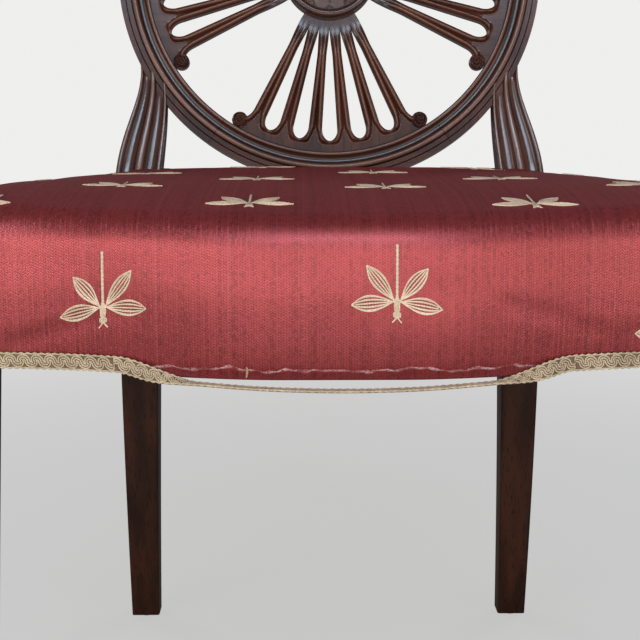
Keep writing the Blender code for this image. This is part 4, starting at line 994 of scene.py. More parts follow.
def post_ring(corners, depth):
    """Ring of a post whose front turns from a flat face with eased edges into the moulding."""
    outer_front, inner_front, inner_rear, outer_rear = corners
    outward = (outer_front - outer_rear).normalized()
    points = moulding(STILE_MOULDING)
    total = points[-1][0]
    ring = eased_corner(outer_rear, inner_rear, outer_front, POST_EASE)
    for across, height in points:
        flat = -rounded_edge(across, total, POST_EASE)
        ring.append(blend(outer_front, inner_front, across / total) + outward * blend(flat, height, depth))
    return ring + eased_corner(inner_rear, inner_front, outer_rear, POST_EASE)


def post_reliefs(depth):
    """Reliefs of a post's ring, whose rear corners have four points each."""
    return [0.0] * 4 + [depth * relief for relief in reliefs_of(moulding(STILE_MOULDING))] + [0.0] * 4


def eased_corner(corner, before, after, radius):
    """Four points that round a corner between the ways to its two neighbours."""
    first = (before - corner).normalized() * radius
    second = (after - corner).normalized() * radius
    return [corner + first * rest + second * rise for rest, rise in quarter_round(3)]


def hoop_arc(start, end):
    """Rings of a moulded arc of the hoop between two angles, in the wheel's frame, and their reliefs."""
    front = moulding(HOOP_MOULDING)
    profile = [(across, HOOP_GROUND + height) for across, height in front]
    rear = -HOOP_DEPTH / 2
    for rest, rise in quarter_round(3):
        profile.append((HOOP_WIDTH - HOOP_EASE * rise, rear + HOOP_EASE * rest))
    for rest, rise in quarter_round(3):
        profile.append((HOOP_EASE * rest, rear + HOOP_EASE * rise))
    steps = max(2, round(abs(end - start) / HOOP_STEP))
    rings = []
    for angle in spread(start, end, steps):
        rings.append([Vector((*wheel_point(HOOP_RADIUS - inset, angle), out)) for inset, out in profile])
    reliefs = reliefs_of(front) + [0.0] * (len(profile) - len(front))
    return rings, [reliefs] * len(rings)


def make_posts(finishes):
    """Rear posts, each with its leg, moulded stile and side of the hoop."""
    heights = spread(GLIDE_HEIGHT, RAIL_BOTTOM, LEG_STEPS) + spread(RAIL_BOTTOM, RAIL_TOP, 4)[1:]
    rings = [post_ring(leg_corners(z), 0.0) for z in heights]
    reliefs = [post_reliefs(0.0) for _ in heights]
    for share in spread(0, 1, STILE_STEPS)[1:]:
        depth = smoothstep(share, *MOULDING_RUN_IN)
        rings.append(post_ring(stile_corners(share), depth))
        reliefs.append(post_reliefs(depth))
    for name, side in SIDES:
        shape = Shape()
        shape.skin([[Vector((side * p.x, p.y, p.z)) for p in ring] for ring in rings], reliefs=reliefs)
        arc, arc_reliefs = hoop_arc(side * (LOWER_JOINT + JOINT_GAP), side * (UPPER_JOINT - JOINT_GAP))
        arc = [[WHEEL @ point for point in ring] for ring in arc]
        shape.skin(arc, finish_number=HOOP_FINISH, reliefs=arc_reliefs)
        mesh = shape.mesh(f"post_{name}", [finishes[finish] for finish in POST_FINISHES])
        # the moulded front keeps the paler tones with painted sheen; every other face of the post, legs
        # included, takes the darker tones of painted shade
        for face in mesh.polygons:
            moulded = face.center.z > RAIL_TOP and face.normal.y < FACES_FORWARD
            if face.material_index == PAINTED_SHEEN_FINISH and not moulded:
                face.material_index = PAINTED_SHADE_FINISH
        fit(show(f"polished_post_{name}", mesh), "mahogany", f"rear_post_{name}")


def make_hoop_rails(finishes):
    """Lower rail and crest of the hoop."""
    arcs = (
        ("hoop_lower_rail", -LOWER_JOINT, LOWER_JOINT),
        ("hoop_crest", UPPER_JOINT, math.tau - UPPER_JOINT),
    )
    for node, start, end in arcs:
        rings, reliefs = hoop_arc(start, end)
        finish = finishes["mahogany_across"]
        add_skin(f"moulded_{node}", rings, finish, "mahogany", node, matrix=WHEEL, reliefs=reliefs)


# Palmettes and hub


def lobe_half_width(radius):
    """Half the width of a spoke at a distance from the hub's middle."""
    share = (radius - HUB_RADIUS) / (HOOP_INNER - LOBE_BAND - HUB_RADIUS)
    return blend(LOBE_ROOT_WIDTH, LOBE_FOOT_WIDTH, min(1.0, max(0.0, share))) / 2


ARCH_TOP = HOOP_INNER - LOBE_BAND
ARCH_START = ARCH_TOP - ARCH_RISE
OPENING_FROM = HUB_RADIUS + OPENING_START


def opening_half_width(radius):
    """Half the width of the opening between two spokes."""
    if radius <= OPENING_FROM or radius >= ARCH_TOP:
        return 0.0
    widest = ARCH_START * LOBE_PITCH / 2 - lobe_half_width(ARCH_START)
    if radius > ARCH_START:
        rise = (radius - ARCH_START) / ARCH_RISE
        return widest * math.sqrt(1 - rise * rise)
    opened = smoothstep(radius, OPENING_FROM - OPENING_TIP, OPENING_FROM + OPENING_SPREAD)
    return opened * (radius * LOBE_PITCH / 2 - lobe_half_width(radius))


def reed_height(distance):
    """Front of a spoke at a distance from the nearest opening's edge: a rounded reed, then the valley."""
    if distance < REED_WIDTH:
        arch = math.sin(math.pi * distance / REED_WIDTH) ** REED_ROUNDNESS
        start = -VALLEY_SINK * smoothstep(distance, REED_WIDTH / 2, REED_WIDTH)
        return start + REED_RISE * arch
    return -VALLEY_SINK


def carved_front(radius, across):
    """Height of the carved front at a radius and a distance from a spoke's middle line."""
    half_pitch = radius * LOBE_PITCH / 2
    to_opening = half_pitch - abs(across)
    if radius > ARCH_START:
        widest = opening_half_width(ARCH_START)
        ratio = math.hypot(to_opening / widest, (radius - ARCH_START) / ARCH_RISE)
        edge = (ratio - 1) * math.sqrt(widest * ARCH_RISE)
        band = smoothstep(radius - ARCH_TOP, *BAND_RUN_IN)
        return blend(reed_height(max(0.0, edge)), -VALLEY_SINK, band)
    edge = to_opening - opening_half_width(radius)
    root = smoothstep(radius, OPENING_FROM, OPENING_FROM + OPENING_SPREAD)
    return reed_height(max(0.0, edge)) * root


def spoke_radii():
    """Radii of a spoke's rings, close together where the openings arch over."""
    root = HUB_RADIUS - SPOKE_ROOT
    rim = HOOP_INNER + SPOKE_RIM
    radii = spread(root, OPENING_FROM, 4)[:-1] + spread(OPENING_FROM, ARCH_START, 26)[:-1]
    for turn in spread(0, math.pi / 2, 10):
        radii.append(ARCH_START + ARCH_RISE * math.sin(turn))
    return radii + spread(ARCH_TOP, rim, 20)[1:]


def add_spoke(shape, lobe, columns):
    """One fluted spoke with its share of the palmette's root and rim, open where it joins the next."""
    middle = LOBE_PITCH * (lobe - (LOBE_COUNT - 1) / 2)
    front = PALMETTE_THICKNESS / 2 - REED_RISE + REED_PROUD
    back = -PALMETTE_THICKNESS / 2
    right_wall = columns
    left_wall = columns + 2
    rings = []
    reliefs = []
    joined = set()
    radii = spoke_radii()
    for row, radius in enumerate(radii):
        half = radius * LOBE_PITCH / 2 - opening_half_width(radius)
        ring = []
        line = []
        for share in spread(-1, 1, columns):
            across = half * math.sin(share * math.pi / 2)
            carving = carved_front(radius, across)
            ring.append((*wheel_point(radius, middle + across / radius), front + carving))
            line.append(carving / REED_RISE)
        for share in (1, -1):
            ring.append((*wheel_point(radius, middle + share * half / radius), back))
        rings.append(ring)
        reliefs.append(line + [0.0, 0.0])
        after = radii[min(row + 1, len(radii) - 1)]
        if max(opening_half_width(radius), opening_half_width(after)) == 0.0:
            joined |= {(row, right_wall)} if lobe < LOBE_COUNT - 1 else set()
            joined |= {(row, left_wall)} if lobe > 0 else set()
    shape.skin(rings, reliefs=reliefs, left_out=joined)


def add_volute(shape, side):
    """Scroll at the end of the palmette's rim, carved as a spiral."""
    middle = wheel_point(HOOP_INNER - SCROLL_RADIUS - VOLUTE_GAP, side * SCROLL_ANGLE)
    back = -PALMETTE_THICKNESS / 2 + VOLUTE_INSET
    front = PALMETTE_THICKNESS / 2 - VOLUTE_SINK
    rows = [(0.0, back), (1.0, back), (1.0, 0.0)] + [(share, None) for share in spread(1.0, 0.0, 16)]
    rings = []
    for share, height in rows:
        radius = SCROLL_RADIUS * share
        carved = smoothstep(share, 0.0, 0.25) * smoothstep(1.0 - share, 0.0, 0.12)
        ring = []
        for index in range(VOLUTE_SIDES):
            angle = math.tau * index / VOLUTE_SIDES
            curl = math.cos(math.tau * radius / VOLUTE_PITCH - side * angle + 1.0)
            spiral = front + VOLUTE_RISE * (1 - share + curl * carved)
            spot = middle + radius * Vector((math.cos(angle), math.sin(angle)))
            ring.append((*spot, spiral if height is None else height))
        rings.append(ring)
    shape.skin(rings)


def make_palmettes(finishes):
    """Four carved palmettes between the hub and the hoop."""
    shape = Shape()
    for lobe in range(LOBE_COUNT):
        add_spoke(shape, lobe, SPOKE_COLUMNS)
    for _, side in SIDES:
        add_volute(shape, side)
    mesh = shape.mesh("carved_palmette", [finishes["mahogany_radial"]])
    for quarter, name in enumerate(("lower", "right", "upper", "left")):
        turn = Matrix.Rotation(quarter * math.pi / 2, 4, "Z")
        place = WHEEL @ Matrix.Translation((0, 0, -PALMETTE_SETBACK)) @ turn
        fit(show(f"carved_palmette_{name}", mesh, place), "mahogany", f"palmette_{name}")


def make_hub(finishes):
    """Turned hub carved with a rosette of petals."""
    rear = -HOOP_DEPTH / 2
    ground = HUB_FRONT - HUB_SINK
    rim = [(HUB_CENTRE, rear), (HUB_RADIUS - HUB_EDGE, rear)]
    for rest, rise in quarter_round(4)[1:]:
        rim.append((HUB_RADIUS - HUB_EDGE * rest, rear + HUB_EDGE * rise))
    for turn in spread(0, math.pi, 12):
        radius = HUB_RADIUS - HUB_BEAD * (1 - math.cos(turn))
        rim.append((radius, ground + HUB_BEAD_RISE * math.sin(turn)))
    sides = PETAL_COUNT * PETAL_STEPS
    rings = turned(rim, sides)
    for share in spread(0, 1, 16):
        radius = blend(HUB_RADIUS - ROSETTE_INSET, BOSS_RADIUS - ROSETTE_UNDER, share)
        dome = ground + ROSETTE_RISE * math.sin(math.pi / 2 * min(1.0, share * ROSETTE_FULLNESS))
        ring = []
        for side in range(sides):
            angle = math.tau * side / sides
            petal = abs(math.sin(PETAL_COUNT / 2 * angle)) ** PETAL_ROUNDNESS - 1
            carve = PETAL_RISE * petal * smoothstep(share, 0.0, 0.15)
            ring.append((radius * math.cos(angle), radius * math.sin(angle), dome + carve))
        rings.append(ring)
    add_skin("carved_hub", rings, finishes["mahogany_across"], "mahogany", "hub", matrix=WHEEL)


def make_boss(finishes):
    """Turned boss in the middle of the hub."""
    bottom = HUB_FRONT - BOSS_SINK
    edge = bottom + BOSS_WALL
    profile = [(BOSS_RADIUS, bottom), (BOSS_RADIUS, edge)]
    for turn in spread(0, math.pi / 2, 10)[1:]:
        radius = max(BOSS_TIP, BOSS_RADIUS * math.cos(turn))
        profile.append((radius, edge + BOSS_RISE * math.sin(turn)))
    rings = turned(profile, 48)
    add_skin("turned_boss", rings, finishes["mahogany_across"], "mahogany", "hub_boss", matrix=WHEEL)


# Front legs and glides


def leg_ring(size, z, side):
    """Section of a front leg with eased edges; its outer front edge is rounder."""
    outer_x = SEAT_FRONT_WIDTH / 2
    corners = (
        (outer_x - size, FRONT_Y + size, LEG_EASE),
        (outer_x - size, FRONT_Y, LEG_EASE),
        (outer_x, FRONT_Y, LEG_EDGE_RADIUS),
        (outer_x, FRONT_Y + size, LEG_EASE),
    )
    points = [Vector((side * x, y, z)) for x, y, _ in corners]
    ring = []
    for index, (_, _, radius) in enumerate(corners):
        ring += eased_corner(points[index], points[index - 1], points[(index + 1) % 4], radius)
    return ring


def make_front_legs(finishes):
    """Square front legs that taper on their inner faces."""
    taper_start = RAIL_BOTTOM - FRONT_LEG_SHOULDER
    for name, side in SIDES:
        rings = []
        for z in spread(GLIDE_HEIGHT, taper_start, 16):
            size = blend(FRONT_LEG_FOOT, FRONT_LEG_TOP, (z - GLIDE_HEIGHT) / (taper_start - GLIDE_HEIGHT))
            rings.append(leg_ring(size, z, side))
        rings.append(leg_ring(FRONT_LEG_TOP, RAIL_TOP, side))
        # the legs' darker tones are painted shade under the seat
        finish = finishes["mahogany_leg"]
        add_skin(f"tapered_leg_{name}", rings, finish, "mahogany", f"front_leg_{name}")


def make_glides(finishes):
    """Domed nail glides under the feet."""
    profile = [(GLIDE_CENTRE, 0.0), (GLIDE_RADIUS - GLIDE_EDGE, 0.0)]
    for rest, rise in quarter_round(5)[1:]:
        profile.append((GLIDE_RADIUS - GLIDE_EDGE * rest, GLIDE_EDGE * rise))
    profile += [(GLIDE_RADIUS, GLIDE_HEIGHT), (GLIDE_CENTRE, GLIDE_HEIGHT)]
    rings = turned(profile, 40)
    for end in ("front", "rear"):
        for name, _ in SIDES:
            node = f"glide_{end}_{name}"
            low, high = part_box(node)
            spot = Matrix.Translation(((low[0] + high[0]) / 2, (low[1] + high[1]) / 2, 0))
            add_skin(f"domed_{node}", rings, finishes["steel"], "steel", node, matrix=spot)


# Seat cover

FRONT_STATIONS = 40
CORNER_STATIONS = 4
SIDE_STATIONS = 27
POST_FRONT_STATIONS = 7
POST_SIDE_STATIONS = 6
CORNER_INDEX = FRONT_STATIONS + CORNER_STATIONS // 2
REAR_STATIONS = CORNER_INDEX - POST_SIDE_STATIONS  # as many as in front, so that the top is a grid
SIDE_END = FRONT_STATIONS + CORNER_STATIONS + SIDE_STATIONS
POST_CORNER = SIDE_END + POST_FRONT_STATIONS
REAR_MIDDLE = POST_CORNER + POST_SIDE_STATIONS + REAR_STATIONS
LOOP = 2 * REAR_MIDDLE
FACE_ROWS = 18
ROLL_ROWS = 7
SIDE_ROWS = FACE_ROWS + ROLL_ROWS + 1


def cover_height(x, y):
    """Height of the seat's top, which slopes to the bowed front and to the posts."""
    behind = y - front_face_y(x) + COVER_OUTSIDE + FRONT_SWELL - FRONT_ROLL
    slope = EDGE_FALL * max(0.0, 1 - behind / EDGE_FALL_RUN) ** 2
    lift = SIDE_LIFT * (x / SIDE_LIFT_REACH) ** 2 * (1 - smoothstep(y, *SIDE_LIFT_RUN))
    corner = CORNER_FALL * smoothstep(abs(x), *CORNER_FALL_REACH) * smoothstep(y, *CORNER_FALL_RUN)
    return COVER_LEVEL + COVER_RISE * y / REAR_Y + lift - slope - corner


def cover_edge():
    """Plan points of the cover's faces round the right half, in and round the post to the rear middle."""
    route = edge_route(0, COVER_END_Y, FRONT_STATIONS, CORNER_STATIONS, SIDE_STATIONS)
    points = widened(route, COVER_OUTSIDE)
    points[0].x = 0.0
    rear = REAR_Y + COVER_OUTSIDE
    points += [Vector((x, COVER_END_Y)) for x in spread(points[-1].x, COVER_REAR_X, POST_FRONT_STATIONS)[1:]]
    points += [Vector((COVER_REAR_X, y)) for y in spread(COVER_END_Y, rear, POST_SIDE_STATIONS)[1:]]
    points += [Vector((x, rear)) for x in spread(COVER_REAR_X, 0, REAR_STATIONS)[1:]]
    return points


def cover_arm(index, point):
    """Plan direction in which a station's face swells and its roll is set in."""
    side = math.copysign(1.0, point.x)
    reach = abs(point.x)
    if index < CORNER_INDEX:
        edge = SEAT_FRONT_WIDTH / 2
        return Vector((side * smoothstep(reach, edge - ROLL_CHANGE, edge), -1))
    if index <= SIDE_END:
        front = 1 - smoothstep(point.y, FRONT_Y, FRONT_Y + ROLL_CHANGE)
        return Vector((side, smoothstep(point.y, COVER_END_Y - ROLL_CHANGE, COVER_END_Y) - front))
    if index <= POST_CORNER + POST_SIDE_STATIONS:
        return Vector((side, 1))
    return Vector((side * smoothstep(reach, COVER_REAR_X - ROLL_CHANGE, COVER_REAR_X), 1))


def cover_section(index, arm):
    """Roll radius, swell at the roll and slope of the top beside it, at a station."""
    front = max(0.0, -arm.y)
    if index <= SIDE_END:
        near_post = max(0.0, arm.y)
        radius = blend(blend(SIDE_ROLL, FRONT_ROLL, front), POST_ROLL, near_post)
        swell = blend(SIDE_SWELL, FRONT_SWELL, front) * (1 - near_post)
        return radius, swell, EDGE_SLOPE * front
    if index <= POST_CORNER + POST_SIDE_STATIONS:
        return POST_ROLL, 0.0, 0.0
    middle = 1 - abs(arm.x)
    return blend(POST_ROLL, REAR_ROLL, middle), -REAR_LEAN * middle, 0.0


def lump(x, y, z):
    """Unevenness of the stuffing."""
    return LUMP_DEPTH * noise.noise(Vector((x, y, LUMP_FLATNESS * z)) / LUMP_SIZE)


def face_swell(index, z, roll_start, swell):
    """How far the cover's face stands out at a height."""
    if index > POST_CORNER:
        return swell * smoothstep(z, RAIL_TOP, roll_start)
    below = max(0.0, (SWELL_HEIGHT - z) / (SWELL_HEIGHT - GIMP_TOP))
    hem = max(0.0, 1 - (z - RAIL_BOTTOM) / HEM_HEIGHT)
    return swell * (1 - below**SWELL_POWER) - HEM_CURL * hem * hem


def crease(x, z):
    """How deep the slack folds of the front lie at a place on it."""
    depth = 0.0
    spot = Vector((x, z))
    for start, end in CREASES:
        fold = Vector(end) - Vector(start)
        share = min(1.0, max(0.0, (spot - Vector(start)).dot(fold) / fold.dot(fold)))
        distance = (spot - Vector(start) - fold * share).length
        depth += CREASE_DEPTH * (1 - smoothstep(distance, 0, CREASE_REACH))
    return depth


def cover_station(index, point):
    """Column of the cover at a station: places up its face and over its roll, with the cloth's run."""
    beside_post = SIDE_END < index < POST_CORNER + POST_SIDE_STATIONS
    arm = cover_arm(index, point)
    radius, swell, slope = cover_section(index, arm)
    last_turn = math.pi / 2 - slope
    end = point + arm * (swell - radius * (1 - math.cos(last_turn)))
    roll_start = cover_height(*end) - radius * math.sin(last_turn)
    bottom = RAIL_TOP - TUCK_DEPTH if beside_post else RAIL_BOTTOM
    if index < CORNER_INDEX:
        bottom -= HEM_DROP * (1 - smoothstep(abs(point.x), *HEM_DROP_REACH))
    column = []
    for z in spread(bottom, roll_start, FACE_ROWS)[:-1]:
        out = 0.0 if beside_post else face_swell(index, z, roll_start, swell)
        if index <= SIDE_END:
            out += lump(point.x, point.y, z) * smoothstep(z, GIMP_TOP, RAIL_TOP)
        if index < CORNER_INDEX:
            out -= crease(point.x, z)
        spot = point + arm * out
        column.append((spot.x, spot.y, z, radius * last_turn + roll_start - z))
    for turn in spread(0, last_turn, ROLL_ROWS):
        z = roll_start + radius * math.sin(turn)
        out = swell - radius * (1 - math.cos(turn))
        if index <= SIDE_END:
            out += lump(point.x, point.y, z) * math.cos(turn)
        spot = point + arm * out
        column.append((spot.x, spot.y, z, radius * (last_turn - turn)))
    return column


def cloth_place(index, top, x, y, run):
    """Place on the flat cloth, in millimetres, of a point of the cover's faces."""
    if index > POST_CORNER:
        return x / MM, (top[1] + run) / MM
    side = smoothstep(index, CORNER_INDEX - 3, CORNER_INDEX + 3)
    front = (x / MM, (top[1] - run) / MM)
    flank = ((top[0] + math.copysign(run, top[0])) / MM, y / MM)
    return blend(front[0], flank[0], side), blend(front[1], flank[1], side)


def motif_place(across, along, x, y):
    """Place in the sprigs' layout: the rows follow the bow, and hang a little lower at both sides."""
    near = 1 - smoothstep((y - front_face_y(x)) / MM, *BOW_FADE)
    sink = ROW_SINK * (across - ROW_MIDDLE) ** 2
    along += near * (sink - bow(x) / MM)
    return across, along + TOP_STRETCH * max(0.0, along - MOTIF_ROW - MOTIF_PITCH)


def top_grid(ring):
    """Points of the seat's top inside a closed ring, row by row from the front."""
    front = [ring[index % LOOP] for index in range(LOOP - CORNER_INDEX, LOOP + CORNER_INDEX + 1)]
    rear = [ring[index] for index in range(LOOP - POST_CORNER, POST_CORNER - 1, -1)]
    right = [ring[index] for index in range(CORNER_INDEX, POST_CORNER + 1)]
    left = [ring[index] for index in range(LOOP - CORNER_INDEX, LOOP - POST_CORNER - 1, -1)]
    columns = len(front) - 1
    rows = len(right) - 1
    grid = []
    for row in range(1, rows):
        down = row / rows
        line = []
        for column in range(1, columns):
            over = column / columns
            corners = blend(blend(front[0], front[-1], over), blend(rear[0], rear[-1], over), down)
            edges = blend(front[column], rear[column], down) + blend(left[row], right[row], over)
            spot = edges - corners
            line.append(Vector((spot.x, spot.y, cover_height(spot.x, spot.y))))
        grid.append(line)
    return grid


class Sheet:
    """Points of the cover, with their places on the cloth and their heights above its lower edge."""

    def __init__(self):
        self.points = []
        self.weave = []
        self.motif = []
        self.above_edge = []

    def add(self, spot, place, above_edge=FAR_FROM_EDGE):
        self.points.append(tuple(spot))
        self.weave.append(place)
        self.motif.append(motif_place(*place, spot[0], spot[1]))
        self.above_edge.append(above_edge)


def add_sides(sheet):
    """The cover's faces and rolls, row by row from its edge; returns their faces and the pinned points."""
    half = cover_edge()
    left = [(index, Vector((-half[index].x, half[index].y))) for index in range(REAR_MIDDLE - 1, 0, -1)]
    stations = list(enumerate(half)) + left
    columns = [cover_station(index, point) for index, point in stations]
    pinned = []
    for row in range(SIDE_ROWS):
        for (index, _), column in zip(stations, columns):
            x, y, z, run = column[row]
            beside_post = SIDE_END <= index <= POST_CORNER + POST_SIDE_STATIONS
            if z < GIMP_TOP + TACK_MARGIN or beside_post:
                pinned.append(len(sheet.points))
            above_edge = (z - RAIL_BOTTOM) / MM if index < CORNER_INDEX else FAR_FROM_EDGE
            sheet.add((x, y, z), cloth_place(index, column[-1], x, y, run), above_edge)
    return grid_faces(SIDE_ROWS - 1, LOOP, lambda row, column: row * LOOP + column % LOOP), pinned


def add_top(sheet):
    """The seat's top inside the ring of the roll's upper end; returns its faces."""
    ring_start = (SIDE_ROWS - 1) * LOOP
    grid = top_grid([Vector(point) for point in sheet.points[ring_start:]])
    start = len(sheet.points)
    width = len(grid[0])
    for line in grid:
        for spot in line:
            sheet.add(spot, (spot.x / MM, spot.y / MM))

    def corner(row, column):
        """Index of a top point, counting the ring as its border."""
        if row == 0:
            return ring_start + (LOOP - CORNER_INDEX + column) % LOOP
        if row == len(grid) + 1:
            return ring_start + LOOP - POST_CORNER - column
        if column == 0:
            return ring_start + LOOP - CORNER_INDEX - row
        if column == width + 1:
            return ring_start + CORNER_INDEX + row
        return start + (row - 1) * width + column - 1

    return grid_faces(len(grid) + 1, width + 1, corner)


def cover_mesh(finishes):
    """The cover as one sheet, with its places on the cloth; returns the mesh and the pinned points."""
    sheet = Sheet()
    faces, pinned = add_sides(sheet)
    faces += add_top(sheet)
    mesh = bpy.data.meshes.new("silk_cover")
    mesh.from_pydata(sheet.points, [], faces)
    mesh.materials.append(finishes["silk"])
    write_places(mesh, "weave", sheet.weave)
    write_places(mesh, "motif", sheet.motif)
    attribute = mesh.attributes.new("above_edge", "FLOAT", "POINT")
    attribute.data.foreach_set("value", sheet.above_edge)
    mesh.shade_smooth()
    return mesh, pinned


def write_places(mesh, name, places):
    """Keep a place per point as a UV map."""
    corners = np.empty(len(mesh.loops), dtype=np.int32)
    mesh.loops.foreach_get("vertex_index", corners)
    flat = np.array(places, dtype=np.float32)[corners].ravel()
    mesh.uv_layers.new(name=name).data.foreach_set("uv", flat)


def point_places(mesh):
    """Places of a mesh's points, one in each row."""
    places = np.empty(len(mesh.vertices) * 3)
    mesh.vertices.foreach_get("co", places)
    return places.reshape(-1, 3)


def press_cloth(piece, pinned):
    """Let the stuffing press the pinned cover out, and keep each point near its place."""
    piece.vertex_groups.new(name="tacked").add(pinned, 1.0, "REPLACE")
    cloth = piece.modifiers.new("press", "CLOTH")
    for name, value in CLOTH_SETTINGS.items():
        setattr(cloth.settings, name, value)
    cloth.settings.effector_weights.gravity = 0
    scene = bpy.context.scene
    for step in range(1, CLOTH_FRAMES + 1):
        scene.frame_set(step)
    shown = piece.evaluated_get(bpy.context.evaluated_depsgraph_get())
    rest = point_places(piece.data)
    move = point_places(shown.data) - rest
    piece.modifiers.remove(cloth)
    scene.frame_set(1)
    length = np.maximum(np.linalg.norm(move, axis=1, keepdims=True), 1e-9)
    free = np.array([[smoothstep(z, *CLOTH_FREE)] for z in rest[:, 2]])
    limited = free * CLOTH_LIMIT * np.tanh(length / CLOTH_LIMIT)
    piece.data.vertices.foreach_set("co", (rest + move / length * limited).ravel())
    piece.data.update()


class ClothMap:
    """Finds where a place in the sprigs' layout lies on the finished cover."""

    def __init__(self, piece):
        bpy.context.view_layer.update()
        shown = piece.evaluated_get(bpy.context.evaluated_depsgraph_get())
        mesh = shown.to_mesh()
        mesh.calc_loop_triangles()
        layout = mesh.uv_layers["motif"].data
        places = []
        self.spots = []
        self.normals = []
        for triangle in mesh.loop_triangles:
            places += [(*layout[loop].uv, 0.0) for loop in triangle.loops]
            self.spots.append([mesh.vertices[index].co.copy() for index in triangle.vertices])
            self.normals.append([mesh.vertices[index].normal.copy() for index in triangle.vertices])
        shown.to_mesh_clear()
        corners = [(start, start + 1, start + 2) for start in range(0, len(places), 3)]
        self.places = places
        self.tree = BVHTree.FromPolygons(places, corners)

    def find(self, across, along):
        """Point on the cover and its outward direction, or None off the cloth."""
        place, _, number, distance = self.tree.find_nearest((across, along, 0.0))
        if distance > OFF_CLOTH:
            return None
        corners = [Vector(corner) for corner in self.places[3 * number:3 * number + 3]]
        spot = barycentric_transform(place, *corners, *self.spots[number])
        return spot, barycentric_transform(place, *corners, *self.normals[number]).normalized()


def wing_threads(shape):
    """Lines of a right-hand wing's rim and veins, from the wings' joint, in millimetres."""
    slant, length, half_width = shape
    lines = []
    for lane in RIM_LANES + VEIN_LANES:
        line = []
        for share in spread(*(RIM_RUN if lane in RIM_LANES else VEIN_RUN), WING_STEPS):
            edge = half_width * max(0.0, math.sin(math.pi * share**WING_FULLEST)) ** WING_ROUNDNESS
            across = lane * max(0.0, edge - RIM_INSET) if lane in RIM_LANES else lane * edge
            along = share * length
            x = WING_ROOT + along * math.cos(slant) - across * math.sin(slant)
            line.append((x, along * math.sin(slant) + across * math.cos(slant)))
        lines.append(line)
    return lines


def oval_threads(middle_y, half_width, half_height, lanes):
    """Upright threads that fill an oval on the sprig's middle line."""
    lines = []
    for lane in lanes:
        reach = half_height * math.sqrt(1 - lane * lane)
        lines.append([(lane * half_width, middle_y + reach * share) for share in spread(-1, 1, 6)])
    return lines


def sprig_threads():
    """All threads of one dragonfly sprig, in millimetres from the wings' joint."""
    right = wing_threads(UPPER_WING) + wing_threads(LOWER_WING)
    feeler_x = [FEELER_SLOPE * drop for drop in spread(0, FEELER_LENGTH, 4)]
    right.append([(x, FEELER_Y - x / FEELER_SLOPE) for x in feeler_x])
    left = [[(-x, y) for x, y in line] for line in right]
    middle = [[(0.0, y) for y in spread(0, TAIL_LENGTH, 30)]]
    middle += oval_threads(*BODY_OVAL, BODY_LANES)
    middle += oval_threads(*HEAD_OVAL, HEAD_LANES)
    return right + left + middle


def cloth_runs(cloth, line):
    """Stretches of a thread that lie smoothly on the cover, as points and outward directions."""
    runs = [[]]
    last = None
    for place in line:
        found = cloth.find(*place)
        if found and last and runs[-1]:
            flat = (Vector(place) - Vector(last)).length * MM
            step = (found[0] - runs[-1][-1][0]).length
            if not flat / THREAD_STRETCH < step < flat * THREAD_STRETCH:
                runs.append([])
        if found:
            runs[-1].append(found)
        elif runs[-1]:
            runs.append([])
        last = place
    return [run for run in runs if len(run) > 2]


def make_sprigs(cloth, finishes):
    """Raised gold threads of the dragonfly sprigs on the cover."""
    threads = sprig_threads()
    shape = Shape()
    for row in range(SPRIG_ROWS):
        for column in range(-SPRIG_COLUMNS, SPRIG_COLUMNS + 1):
            middle_x = MOTIF_X + (column - 0.5 * (row % 2)) * MOTIF_REPEAT
            middle_y = MOTIF_ROW + row * MOTIF_PITCH
            for line in threads:
                for run in cloth_runs(cloth, [(middle_x + x, middle_y + y) for x, y in line]):
                    spots = np.array([spot + normal * THREAD_LIFT for spot, normal in run])
                    normals = np.array([normal for _, normal in run])
                    shape.skin(tube(spots, normals, GOLD_RADIUS, 5))
    fit(show("gold_sprigs", shape.mesh("gold_sprigs", [finishes["gold_thread"]])), "silk")


def make_cover(finishes):
    """Silk cover over the stuffed seat, with its sprigs."""
    mesh, pinned = cover_mesh(finishes)
    piece = show("silk_cover", mesh)
    press_cloth(piece, pinned)
    rounding = piece.modifiers.new("rounding", "SUBSURF")
    rounding.levels = 2
    rounding.render_levels = 2
    make_sprigs(ClothMap(piece), finishes)
    thicken(piece, COVER_THICKNESS, -1)
    fit(piece, "silk", "seat_cover", "seat_wadding", "seat_pad")


# Gimp


class Ribbon:
    """A gimp's middle line with the directions along its width and out of its face."""

    def __init__(self, middles, ups, outs):
        self.middles = np.array(middles)
        self.ups = np.array(ups)
        self.outs = np.array(outs)
        steps = np.linalg.norm(np.diff(self.middles, axis=0), axis=1)
        self.runs = np.concatenate(([0.0], np.cumsum(steps)))
        self.length = self.runs[-1]

    def between(self, values, run):
        return np.stack([np.interp(run, self.runs, values[:, axis]) for axis in range(3)], axis=1)

    def points(self, run, across, out):
        """Points at runs along the ribbon, offset across its width and out of its face."""
        spot = self.between(self.middles, run)
        spot += self.between(self.ups, run) * np.reshape(across, (-1, 1))
        return spot + self.between(self.outs, run) * np.reshape(out, (-1, 1))


def tube(points, outs, radius, sides):
    """Rings of a tube along points, with one of its directions given."""
    ahead = np.gradient(points, axis=0)
    ahead /= np.linalg.norm(ahead, axis=1, keepdims=True)
    beside = np.cross(ahead, outs)
    beside /= np.maximum(np.linalg.norm(beside, axis=1, keepdims=True), 1e-9)
    upright = np.cross(beside, ahead)
    radius = np.broadcast_to(np.reshape(radius, (-1, 1)), (len(points), 1))
    rings = []
    for side in range(sides):
        angle = math.tau * side / sides
        rings.append(points + radius * (beside * math.cos(angle) + upright * math.sin(angle)))
    return np.stack(rings, axis=1)


